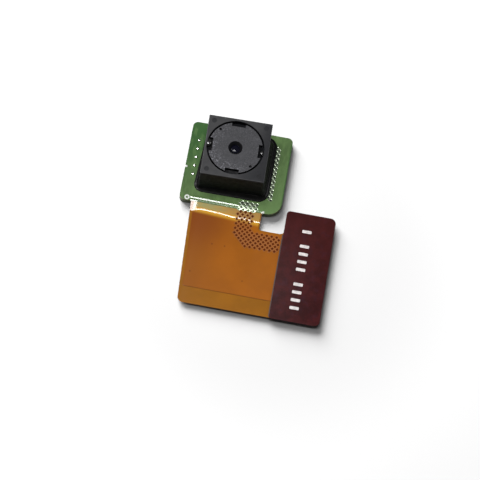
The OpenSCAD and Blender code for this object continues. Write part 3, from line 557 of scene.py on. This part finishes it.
def deselect():
    """Back to object mode with nothing selected"""
    if bpy.context.mode != "OBJECT":
        bpy.ops.object.mode_set(mode="OBJECT")
    bpy.ops.object.select_all(action="DESELECT")


def pick(obj):
    """Makes one object the only selected and active one"""
    deselect()
    obj.select_set(True)
    bpy.context.view_layer.objects.active = obj
    return obj


def edit(obj):
    """Opens an object in edit mode with all of it selected"""
    pick(obj)
    bpy.ops.object.mode_set(mode="EDIT")
    bpy.ops.mesh.select_all(action="SELECT")
    return obj


def choose(obj, kind, test):
    """In edit mode, selects only the vertices, edges or faces whose test holds"""
    bpy.ops.mesh.select_mode(type={"verts": "VERT", "edges": "EDGE", "faces": "FACE"}[kind])
    bpy.ops.mesh.select_all(action="DESELECT")
    mesh = bmesh.from_edit_mesh(obj.data)
    for item in getattr(mesh, kind):
        if test(item):
            item.select_set(True)
    mesh.select_flush_mode()
    bmesh.update_edit_mesh(obj.data)


def settle(obj, rule):
    """Lifts every vertex by what the rule gives for its place"""
    edit(obj)
    mesh = bmesh.from_edit_mesh(obj.data)
    for vertex in mesh.verts:
        vertex.co.z += rule(vertex.co.x, vertex.co.y)
    bmesh.update_edit_mesh(obj.data)
    deselect()


def outline_sheet(corners, z):
    """Flat sheet at height z with its corners (x, y, radius) in millimetres, each rounded to its radius"""
    deselect()
    bpy.ops.mesh.primitive_circle_add(vertices=len(corners), fill_type="NGON", location=(0, 0, 0))
    obj = edit(bpy.context.object)
    mesh = bmesh.from_edit_mesh(obj.data)
    for vertex, (x, y, _) in zip(mesh.verts, corners):
        vertex.co = (x * MM, y * MM, z)
    bmesh.update_edit_mesh(obj.data)
    for x, y, radius in corners:
        if radius > 0:
            corner = Vector((x * MM, y * MM, z))
            choose(obj, "verts", lambda v: (v.co - corner).length < 0.001 * MM)
            bpy.ops.mesh.bevel(offset=radius * MM, segments=ARC_STEPS, affect="VERTICES")
    bpy.ops.mesh.select_all(action="SELECT")
    bpy.ops.mesh.normals_make_consistent(inside=False)
    mesh = bmesh.from_edit_mesh(obj.data)
    if sum(face.normal.z for face in mesh.faces) < 0:
        bpy.ops.mesh.flip_normals()
    deselect()
    return obj


def box_corners(x0, y0, x1, y1, *radii):
    """Corners from the front left one, against the clock"""
    return [(x, y, r) for (x, y), r in zip(((x0, y0), (x1, y0), (x1, y1), (x0, y1)), radii)]


def slice_sheet(obj, cuts):
    """Cuts a sheet across at even places along each axis, so that it can bend there"""
    edit(obj)
    for axis, start, end, count in cuts:
        normal = Vector((0, 0, 0))
        normal[axis] = 1
        for i in range(count + 1):
            place = start + (end - start) * i / count
            bpy.ops.mesh.select_all(action="SELECT")
            bpy.ops.mesh.bisect(plane_co=normal * place * MM, plane_no=normal, threshold=0.001 * MM)
    deselect()


def apply_modifier(obj, kind, **values):
    """Adds one modifier with its values and applies it"""
    pick(obj)
    modifier = obj.modifiers.new(kind.lower(), kind)
    for key, value in values.items():
        setattr(modifier, key, value)
    bpy.ops.object.modifier_apply(modifier=modifier.name)


def thicken(obj, thickness):
    """Gives a sheet its thickness, downwards"""
    apply_modifier(obj, "SOLIDIFY", thickness=thickness, offset=-1)


def soften(obj, width, segments=2):
    """Bevels an object's sharp edges"""
    apply_modifier(obj, "BEVEL", width=width, segments=segments, limit_method="ANGLE",
                   angle_limit=math.radians(40))


def finish_piece(obj, name, material, replaced=(), angle=35):
    """Names a piece, sets its finish and lets it ride on the module"""
    pick(obj)
    bpy.ops.object.transform_apply(location=True, rotation=True, scale=True)
    bpy.ops.object.shade_smooth_by_angle(angle=math.radians(angle))
    obj.name = name
    obj.data.name = name
    if material is not None:
        obj.data.materials.clear()
        obj.data.materials.append(material)
    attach(obj, BODY)
    if replaced:
        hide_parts(*replaced)
    return obj


def merged_copy(node):
    """Copy of a CAD node's mesh with its loose triangles joined"""
    obj = bpy.data.objects.new(node + "_copy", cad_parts[node].data.copy())
    bpy.context.scene.collection.objects.link(obj)
    edit(obj)
    bpy.ops.mesh.remove_doubles(threshold=0.0005 * MM)
    bpy.ops.mesh.dissolve_limited(angle_limit=math.radians(0.5))
    deselect()
    return obj


def paint(node, material):
    """Makes a material the only one of a CAD node"""
    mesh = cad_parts[node].data
    mesh.materials.clear()
    mesh.materials.append(material)


# ---- Form of the film where it steps down from the board ----

def smooth(value, start, end):
    """0 up to start, 1 from end on, and a soft S between them"""
    share = min(1.0, max(0.0, (value - start) / (end - start)))
    return share * share * (3 - 2 * share)


def blend(pair, share):
    """Number between the two of a pair"""
    return pair[0] + (pair[1] - pair[0]) * share


def ramp(along, start, end, drop):
    """0 up to start, drop from end on, and straight between them"""
    return drop * min(1.0, max(0.0, (along - start) / max(end - start, 0.01)))


def step_drop(x, y):
    """Depth of the film's top below its place on the board: a ramp, a last facet and a slow return"""
    x, y = x / MM, y / MM
    left, right = smooth(x, *STEP_LEFT_END), smooth(x, *STEP_ACROSS)
    along = STEP_START + 0.03 * noise.noise(Vector((x * 0.9, 0, 7))) - y
    foot = blend(STEP_RUN, right) + 0.04 * noise.noise(Vector((x * 0.6, 0, 3)))
    foot = blend((foot, STEP_RUN_LEFT), left)
    foot_drop = GLEAM_SLOPE * FOOT_RUN
    deepest = blend((STEP_SLOPE * foot + foot_drop, STEP_DROP), left)
    sunk = ramp(along, 0, foot, deepest - foot_drop) + ramp(along, foot, foot + FOOT_RUN, foot_drop)
    back = (deepest - STEP_DROP) * smooth(along, foot + FOOT_RUN, foot + FOOT_RUN + RECOVERY)
    return (sunk - back) * MM


def ridge(x, y):
    """Low ridge of the green layer along the line where its film begins"""
    x, y = x / MM, y / MM
    span = smooth(x, *RIDGE_LEFT) * smooth(x, *RIDGE_RIGHT)
    past = RIDGE_Y - y
    rise = smooth(past, -RIDGE_BACK, 0) * (1 - ramp(past, 0, RIDGE_FRONT, 1))
    return RIDGE_FRONT * blend(RIDGE_SLOPE, smooth(x, *RIDGE_ACROSS)) * rise * span * MM


def head_drop(x, y):
    """How far the green layer lies below the deck: only in front of the neck does it follow the film"""
    span = smooth(x / MM, *HEAD_LEFT) * smooth(x / MM, *HEAD_RIGHT)
    return step_drop(x, y) * span - ridge(x, y)


# ---- Operators, one for each piece or group of like pieces ----

class CAMERA_MODULE_OT_hidden_parts(bpy.types.Operator):
    """Finish the lenses, rings, filter, sensor and plug"""
    bl_idname = "camera_module.hidden_parts"
    bl_label = "Lenses, sensor and plug"

    def execute(self, context):
        lens = glass("lens_glass", (0.10, 0.10, 0.16), 0.04, 0.025)
        # Painted shade: the front lens is opaque and near black, standing in for the shaded inside seen
        # through it
        front_lens = glass("coated_lens", (0.004, 0.004, 0.009), 0.05, 0.17, 0.0)
        filter_glass = glass("filter_glass", (0.55, 0.85, 0.85))
        baffle = plain("baffle_film", (0.004, 0.004, 0.004), 0.7)
        gold = metal("gold", (0.85, 0.60, 0.22), 0.2)
        tin = metal("tinned", (0.82, 0.82, 0.80), 0.22)
        paint("lens_1", front_lens)
        for number in (2, 3, 4):
            paint(f"lens_{number}", lens)
        for node in ("spacer_1", "spacer_2", "spacer_3", "lens_retainer"):
            paint(node, baffle)
        paint("ir_filter", filter_glass)
        paint("filter_adhesive", plain("clear_glue", (0.5, 0.5, 0.48), 0.2))
        paint("sensor_die", plain("silicon", (0.03, 0.035, 0.05), 0.15, coat_weight=0.5))
        paint("die_attach", plain("die_glue", (0.02, 0.02, 0.02), 0.5))
        for node in ("bond_wires", "bond_fingers", "connector_contacts"):
            paint(node, gold)
        paint("capacitor_bodies", plain("chip_ceramic", (0.30, 0.20, 0.12), 0.5))
        for node in ("capacitor_terminals", "connector_anchors"):
            paint(node, tin)
        paint("connector_housing", plain("plug_plastic", (0.015, 0.015, 0.015), 0.45))
        return {"FINISHED"}


class CAMERA_MODULE_OT_board(bpy.types.Operator):
    """Finish the board's core and lay its green layer"""
    bl_idname = "camera_module.board"
    bl_label = "Board head"

    def execute(self, context):
        paint("board_plate", board_core())
        sheet = outline_sheet(box_corners(*corner_mm(MASK_LOW), *corner_mm(MASK_HIGH), *BOARD_RADII), DECK_Z)
        slice_sheet(sheet, HEAD_CUTS)
        settle(sheet, lambda x, y: -head_drop(x, y))
        thicken(sheet, MASK_HIGH.z - MASK_LOW.z)
        finish_piece(sheet, "green_layer", green_mask(), ["head_mask"], 50)
        return {"FINISHED"}


class CAMERA_MODULE_OT_film(bpy.types.Operator):
    """Lay the amber film from the board, down its step and under the plate"""
    bl_idname = "camera_module.film"
    bl_label = "Film"

    def execute(self, context):
        x0, y0 = corner_mm(BOARD_LOW)
        x1, y1 = corner_mm(BOARD_HIGH)
        plate_x0, plate_x1 = PLATE_LOW.x / MM + FILM_INSET, PLATE_HIGH.x / MM - FILM_INSET
        plate_y1, end_y = PLATE_HIGH.y / MM - FILM_INSET, FILM_LOW.y / MM
        head = box_corners(x0, y0, x1, y1, *BOARD_RADII)
        tail = [(NECK_LEFT, y0, NECK_R), (TAIL_LEFT, end_y, TAIL_R), (plate_x1, end_y, PLATE_RADII[1]),
                (plate_x1, plate_y1, PLATE_RADII[2]), (plate_x0, plate_y1, PLATE_RADII[3]),
                (plate_x0, NOTCH_Y, NOTCH_RADII[0]), (NECK_RIGHT, NOTCH_Y, NOTCH_RADII[1]),
                (NECK_RIGHT, y0, NECK_R)]
        sheet = outline_sheet(head[:1] + tail + head[1:], MASK_LOW.z)
        slice_sheet(sheet, FILM_CUTS)
        settle(sheet, lambda x, y: -step_drop(x, y) if NECK_LEFT * MM - 0.1 * MM < x else 0)
        thicken(sheet, FILM_T)
        finish_piece(sheet, "film", amber_film(), ["flex_film"], 50)
        return {"FINISHED"}


class CAMERA_MODULE_OT_cover_film(bpy.types.Operator):
    """Lay the cover film over the step and the tail"""
    bl_idname = "camera_module.cover_film"
    bl_label = "Cover film"

    def execute(self, context):
        left, right = NECK_LEFT + COVER_SIDE, NECK_RIGHT - COVER_GAP
        plate_x, notch_y = PLATE_LOW.x / MM - COVER_TO_PLATE, NOTCH_Y - COVER_GAP
        start_y, end_y = COVER_HIGH.y / MM, COVER_LOW.y / MM
        slant = (TAIL_LEFT - NECK_LEFT) / (FILM_LOW.y / MM - BEND_Y)
        corners = [(left, start_y, 0), (left, BEND_Y, 0), (left + slant * (end_y - BEND_Y), end_y, COVER_R),
                   (plate_x, end_y, 0), (plate_x, notch_y, 0), (right, notch_y, COVER_R), (right, start_y, 0)]
        sheet = outline_sheet(corners, MASK_LOW.z + COVER_T)
        slice_sheet(sheet, COVER_CUTS)
        settle(sheet, lambda x, y: -step_drop(x, y))
        thicken(sheet, COVER_T)
        finish_piece(sheet, "cover_film", amber_cover(), ["tail_coverlay"], 50)
        return {"FINISHED"}


def in_fields(fields, x, y):
    """True where a place is inside one of the fields"""
    return any(x0 < x < x1 and y0 < y < y1 for x0, x1, y0, y1 in fields)


def hatch_net(inside, surface, line, relief):
    """Net of strands at 45 degrees over the cells whose middle is inside, resting on a surface rule"""
    deselect()
    bpy.ops.mesh.primitive_grid_add(x_subdivisions=HATCH_CELLS, y_subdivisions=HATCH_CELLS,
                                    size=HATCH_CELLS * sizes().hatch_pitch,
                                    location=Vector(HATCH_MIDDLE) * MM, rotation=(0, 0, math.pi / 4))
    net = bpy.context.object
    bpy.ops.object.transform_apply(location=True, rotation=True, scale=True)
    edit(net)
    choose(net, "faces", lambda f: not inside(*[v / MM for v in f.calc_center_median()[:2]]))
    bpy.ops.mesh.delete(type="FACE")
    bpy.ops.mesh.select_all(action="SELECT")
    bpy.ops.mesh.inset(thickness=line / 2, depth=0, use_individual=True)
    bpy.ops.transform.translate(value=(0, 0, -relief))
    mesh = bmesh.from_edit_mesh(net.data)
    for face in mesh.faces:
        face.material_index = 1 if face.select else 0
    bmesh.update_edit_mesh(net.data)
    choose(net, "edges", lambda e: e.is_boundary)
    bpy.ops.mesh.extrude_edges_move(TRANSFORM_OT_translate={"value": (0, 0, -relief)})
    settle(net, lambda x, y: surface(x, y) + relief)
    return net


class CAMERA_MODULE_OT_hatch(bpy.types.Operator):
    """Weave the copper hatch beside the holder, down the step and along the tail"""
    bl_idname = "camera_module.hatch"
    bl_label = "Copper hatch"

    def execute(self, context):
        s = sizes()
        head = hatch_net(lambda x, y: in_fields(HEAD_FIELDS, x, y),
                         lambda x, y: DECK_Z + HATCH_LIFT - head_drop(x, y), s.head_line, s.head_relief)
        tail = hatch_net(lambda x, y: in_fields(TAIL_FIELDS, x, y) and x + y > TAIL_CHAMFER,
                         lambda x, y: MASK_LOW.z + COVER_T + HATCH_LIFT - step_drop(x, y),
                         s.tail_line, s.tail_relief)
        apply_modifier(head, "SUBSURF", levels=2, render_levels=2)
        apply_modifier(tail, "SUBSURF", levels=2, render_levels=2, subdivision_type="SIMPLE")
        copper = amber_cover("copper_strand", 0.45, 0.7)
        for net, name, finish in ((head, "hatch_on_head", (hatch_green(), hatch_green_gap())),
                                  (tail, "hatch_on_tail", (copper, hatch_gap()))):
            finish_piece(net, name, None, ["ground_hatch"], 60)
            for material in finish:
                net.data.materials.append(material)
        return {"FINISHED"}


class CAMERA_MODULE_OT_solder(bpy.types.Operator):
    """Dome the tinned pads, the ring and the stubs"""
    bl_idname = "camera_module.solder"
    bl_label = "Tinned pads"

    def execute(self, context):
        tin = metal("tin", (0.9, 0.9, 0.88), 0.16)
        low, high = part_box("test_pads")
        radius = (high.x - low.x) / 2
        pitch = (high.y - low.y - 2 * radius) / (PAD_COUNT - 1)
        deselect()
        bpy.ops.mesh.primitive_circle_add(vertices=24, radius=radius, fill_type="NGON",
                                          location=(low.x + radius, low.y + radius, DECK_Z))
        pads = edit(context.object)
        for share, rise in PAD_PROFILE:
            bpy.ops.mesh.inset(thickness=share * radius, depth=rise * PAD_RISE * MM)
        bpy.ops.mesh.select_all(action="SELECT")
        for _ in range(PAD_COUNT - 1):
            bpy.ops.mesh.duplicate_move(TRANSFORM_OT_translate={"value": (0, pitch, 0)})
        finish_piece(pads, "solder_pads", tin, ["test_pads"], 60)

        low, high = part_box("ground_ring")
        middle, outer = (low + high) / 2, (high.x - low.x) / 2
        deselect()
        bpy.ops.mesh.primitive_torus_add(major_segments=36, minor_segments=12,
                                         major_radius=outer * RING_MIDDLE, minor_radius=outer * RING_THICK,
                                         location=(middle.x, middle.y, DECK_Z))
        ring = edit(context.object)
        bpy.ops.transform.resize(value=(1, 1, RING_FLAT), center_override=(middle.x, middle.y, DECK_Z))
        dull = plain("dull_tin", (0.62, 0.64, 0.60), 0.3, 0.2, 0.15)
        finish_piece(ring, "ring_pad", dull, ["ground_ring"], 60)

        low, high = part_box("plating_stubs")
        side = STUB_SIDE * MM
        place = (low.x + side / 2, STUB_Y * MM, DECK_Z)
        deselect()
        bpy.ops.mesh.primitive_cube_add(size=side, location=place)
        stubs = edit(context.object)
        bpy.ops.transform.resize(value=(1, 1, STUB_FLAT), center_override=place)
        shift = (high.x - low.x - side, low.y + side / 2 - STUB_Y * MM, 0)
        bpy.ops.mesh.duplicate_move(TRANSFORM_OT_translate={"value": shift})
        soften(stubs, STUB_EDGE * MM, 3)
        finish_piece(stubs, "bar_stubs", dull, ["plating_stubs"], 60)
        return {"FINISHED"}


class CAMERA_MODULE_OT_holder(bpy.types.Operator):
    """Finish the holder, its barrel and the clear glue that locks it"""
    bl_idname = "camera_module.holder"
    bl_label = "Holder and barrel"

    def execute(self, context):
        paint("lens_holder", moulded_black())
        barrel = merged_copy("lens_barrel")
        soften(barrel, BARREL_EDGE * MM)
        finish_piece(barrel, "barrel", barrel_black(), ["lens_barrel"])
        apply_modifier(barrel, "WEIGHTED_NORMAL", keep_sharp=True)
        # Painted shade: the clear glue is opaque and near black, as the shaded notch seen through it
        clear = glass("clear_drop", (0.012, 0.012, 0.012), 0.12, 0.9, 0.0)
        for name, x, y, size in GLUE_DROPS:
            deselect()
            place = Matrix.Rotation(HOLDER_TURN, 3, "Z") @ Vector((x, y, 0)) * MM
            middle = (place.x, place.y, BARREL_HIGH.z - GLUE_DEPTH * MM)
            bpy.ops.mesh.primitive_uv_sphere_add(segments=32, ring_count=20, radius=size * MM / 2,
                                                 location=middle)
            drop = edit(context.object)
            bpy.ops.transform.resize(value=GLUE_SHAPE, center_override=middle)
            bpy.ops.mesh.bisect(plane_co=(0, 0, middle[2] - GLUE_FOOT * MM), plane_no=(0, 0, 1),
                                use_fill=True, clear_inner=True)
            bpy.ops.object.mode_set(mode="OBJECT")
            finish_piece(drop, name, clear, ["lock_adhesive"], 60)
        return {"FINISHED"}


class CAMERA_MODULE_OT_adhesive(bpy.types.Operator):
    """Run the bead of black adhesive round the holder's foot"""
    bl_idname = "camera_module.adhesive"
    bl_label = "Adhesive bead"

    def execute(self, context):
        x0, y0 = corner_mm(BEAD_LOW)
        x1, y1 = corner_mm(BEAD_HIGH)
        corners = box_corners(x0, y0, x1, y1, *BEAD_RADII)
        corners[3] = (x0 + BEAD_BACK_IN, y1, BEAD_RADII[3])
        bead = edit(outline_sheet(corners, DECK_Z))
        bpy.ops.mesh.extrude_region_move(TRANSFORM_OT_translate={"value": (0, 0, BEAD_LIP * MM)})
        for width, rise in BEAD_PROFILE:
            bpy.ops.mesh.inset(thickness=width * MM, depth=rise * MM)
        bpy.ops.mesh.delete(type="ONLY_FACE")
        choose(bead, "edges", lambda e: e.is_boundary and e.verts[0].co.z > DECK_Z + 0.01 * MM)
        top = (BEAD_LIP + sum(rise for _, rise in BEAD_PROFILE)) * MM
        bpy.ops.mesh.extrude_edges_move(TRANSFORM_OT_translate={"value": (0, 0, -top)})
        choose(bead, "edges", lambda e: e.is_boundary)
        bpy.ops.mesh.bridge_edge_loops()
        bpy.ops.mesh.select_all(action="SELECT")
        bpy.ops.mesh.normals_make_consistent(inside=False)
        finish_piece(bead, "adhesive_bead", black_epoxy(), ["seal_adhesive"], 60)
        return {"FINISHED"}


class CAMERA_MODULE_OT_plate(bpy.types.Operator):
    """Make the stiffening plate with its index marks"""
    bl_idname = "camera_module.plate"
    bl_label = "Stiffening plate"

    def execute(self, context):
        corners = box_corners(*corner_mm(PLATE_LOW), *corner_mm(PLATE_HIGH), *PLATE_RADII)
        plate = outline_sheet(corners, PLATE_HIGH.z)
        thicken(plate, PLATE_HIGH.z - PLATE_LOW.z)
        soften(plate, PLATE_EDGE * MM)
        finish_piece(plate, "stiffening_plate", maroon_plate(), ["connector_stiffener"])
        paint("stiffener_bond", plain("bond_film", (0.05, 0.015, 0.008), 0.5))
        mark = edit(outline_sheet(box_corners(*MARK_BOX, *[MARK_R] * 4), PLATE_HIGH.z + MARK_T * MM))
        for gap in MARK_GAPS:
            bpy.ops.mesh.duplicate_move(TRANSFORM_OT_translate={"value": (0, gap * MM, 0)})
        thicken(mark, MARK_T * MM)
        finish_piece(mark, "index_marks", plain("pale_ink", tuple(finishes().ink), 0.5))
        return {"FINISHED"}


def area_lamp(name, place_mm, aim_mm, size_mm, power_mw):
    """Area lamp at a place, turned towards a point"""
    data = bpy.data.lights.new(name, "AREA")
    data.shape = "RECTANGLE"
    data.size, data.size_y = size_mm[0] * MM, size_mm[1] * MM
    data.energy = power_mw * MM
    lamp = bpy.data.objects.new(name, data)
    bpy.context.scene.collection.objects.link(lamp)
    place, aim = Vector(place_mm) * MM, Vector(aim_mm) * MM
    lamp.location = place
    lamp.rotation_euler = (aim - place).to_track_quat("-Z", "Y").to_euler()
    return lamp


class CAMERA_MODULE_OT_camera(bpy.types.Operator):
    """Set the camera at the viewing angle"""
    bl_idname = "camera_module.camera"
    bl_label = "Camera"

    def execute(self, context):
        s = stage()
        data = bpy.data.cameras.new("camera")
        data.lens = s.lens
        data.sensor_width = 36
        data.clip_start = 0.001
        data.clip_end = 10
        camera = bpy.data.objects.new("camera", data)
        context.scene.collection.objects.link(camera)
        turn = Euler((math.pi / 2 - s.elevation, 0, s.azimuth)).to_matrix() @ Matrix.Rotation(s.roll, 3, "Z")
        camera.location = Vector(CAMERA_AIM) * MM + turn @ Vector((0, 0, s.distance))
        camera.rotation_euler = turn.to_euler()
        context.scene.camera = camera
        return {"FINISHED"}


class CAMERA_MODULE_OT_stage(bpy.types.Operator):
    """Lay the pale floor and hang the soft lamps"""
    bl_idname = "camera_module.stage"
    bl_label = "Stage"

    def execute(self, context):
        scene = context.scene
        scene.view_settings.view_transform = "Standard"
        deselect()
        bpy.ops.mesh.primitive_plane_add(size=2.0, location=(0, 0, FLOOR_Z))
        floor = context.object
        floor.name = "floor"
        floor.data.materials.append(self.floor_material())
        world = bpy.data.worlds.new("studio")
        world.use_nodes = True
        sky = world.node_tree.nodes["Background"].inputs
        sky["Color"].default_value = (1, 1, 1, 1)
        sky["Strength"].default_value = WORLD_LIGHT
        scene.world = world
        all_but_floor = gathered("all_but_floor", ["floor"])
        all_but_floor.collection_objects[0].light_linking.link_state = "EXCLUDE"
        for *settings, lights_floor in LAMPS:
            lamp = area_lamp(*settings)
            if not lights_floor:
                lamp.light_linking.receiver_collection = all_but_floor
        shadow = area_lamp(*FLOOR_LAMP)
        shadow.light_linking.receiver_collection = gathered("floor_alone", ["floor"])
        shadow.light_linking.blocker_collection = gathered("shades_floor_lamp", FLOOR_SHADERS)
        return {"FINISHED"}

    def floor_material(self):
        """Pale paint, which looks a little lighter away from the module"""
        pale = tuple(stage().floor)
        f = Finish("floor_paint", pale, 0.9, specular_ior_level=0.0)
        seen = f.mix(f.spot(*PALE_SPOT, 1.0), scaled(pale, PALE_GAIN), pale)
        light = f.node("ShaderNodeLightPath")
        rays = [light.outputs["Is " + kind + " Ray"] for kind in ("Camera", "Glossy", "Transmission")]
        looked_at = f.maths("MAXIMUM", f.maths("MAXIMUM", rays[0], rays[1]), rays[2])
        f.colour(f.mix(looked_at, pale, seen))
        return f.material


def gathered(name, objects):
    """Collection that holds the named objects beside their own"""
    group = bpy.data.collections.new(name)
    for obj in objects:
        group.objects.link(bpy.data.objects[obj])
    return group


class CAMERA_MODULE_PT_panel(bpy.types.Panel):
    """Lists the operators and the values that they read"""
    bl_idname = "CAMERA_MODULE_PT_panel"
    bl_label = "Camera module"
    bl_space_type = "VIEW_3D"
    bl_region_type = "UI"
    bl_category = "Camera module"

    def draw(self, context):
        for name, group in GROUPS.items():
            box = self.layout.box()
            for key in group.__annotations__:
                box.prop(getattr(context.scene, name), key)
        for operator in OPERATORS:
            self.layout.operator(operator.bl_idname)


OPERATORS = (
    CAMERA_MODULE_OT_camera,
    CAMERA_MODULE_OT_hidden_parts,
    CAMERA_MODULE_OT_board,
    CAMERA_MODULE_OT_film,
    CAMERA_MODULE_OT_cover_film,
    CAMERA_MODULE_OT_hatch,
    CAMERA_MODULE_OT_solder,
    CAMERA_MODULE_OT_adhesive,
    CAMERA_MODULE_OT_holder,
    CAMERA_MODULE_OT_plate,
    CAMERA_MODULE_OT_stage,
)


def register():
    for group in GROUPS.values():
        bpy.utils.register_class(group)
    for name, group in GROUPS.items():
        setattr(bpy.types.Scene, name, bpy.props.PointerProperty(type=group))
    for operator in OPERATORS:
        bpy.utils.register_class(operator)
    bpy.utils.register_class(CAMERA_MODULE_PT_panel)


def unregister():
    bpy.utils.unregister_class(CAMERA_MODULE_PT_panel)
    for operator in reversed(OPERATORS):
        bpy.utils.unregister_class(operator)
    for name in GROUPS:
        delattr(bpy.types.Scene, name)
    for group in GROUPS.values():
        bpy.utils.unregister_class(group)


def main():
    register()
    for operator in OPERATORS:
        group, name = operator.bl_idname.split(".")
        getattr(getattr(bpy.ops, group), name)()


if __name__ == "__main__":
    main()
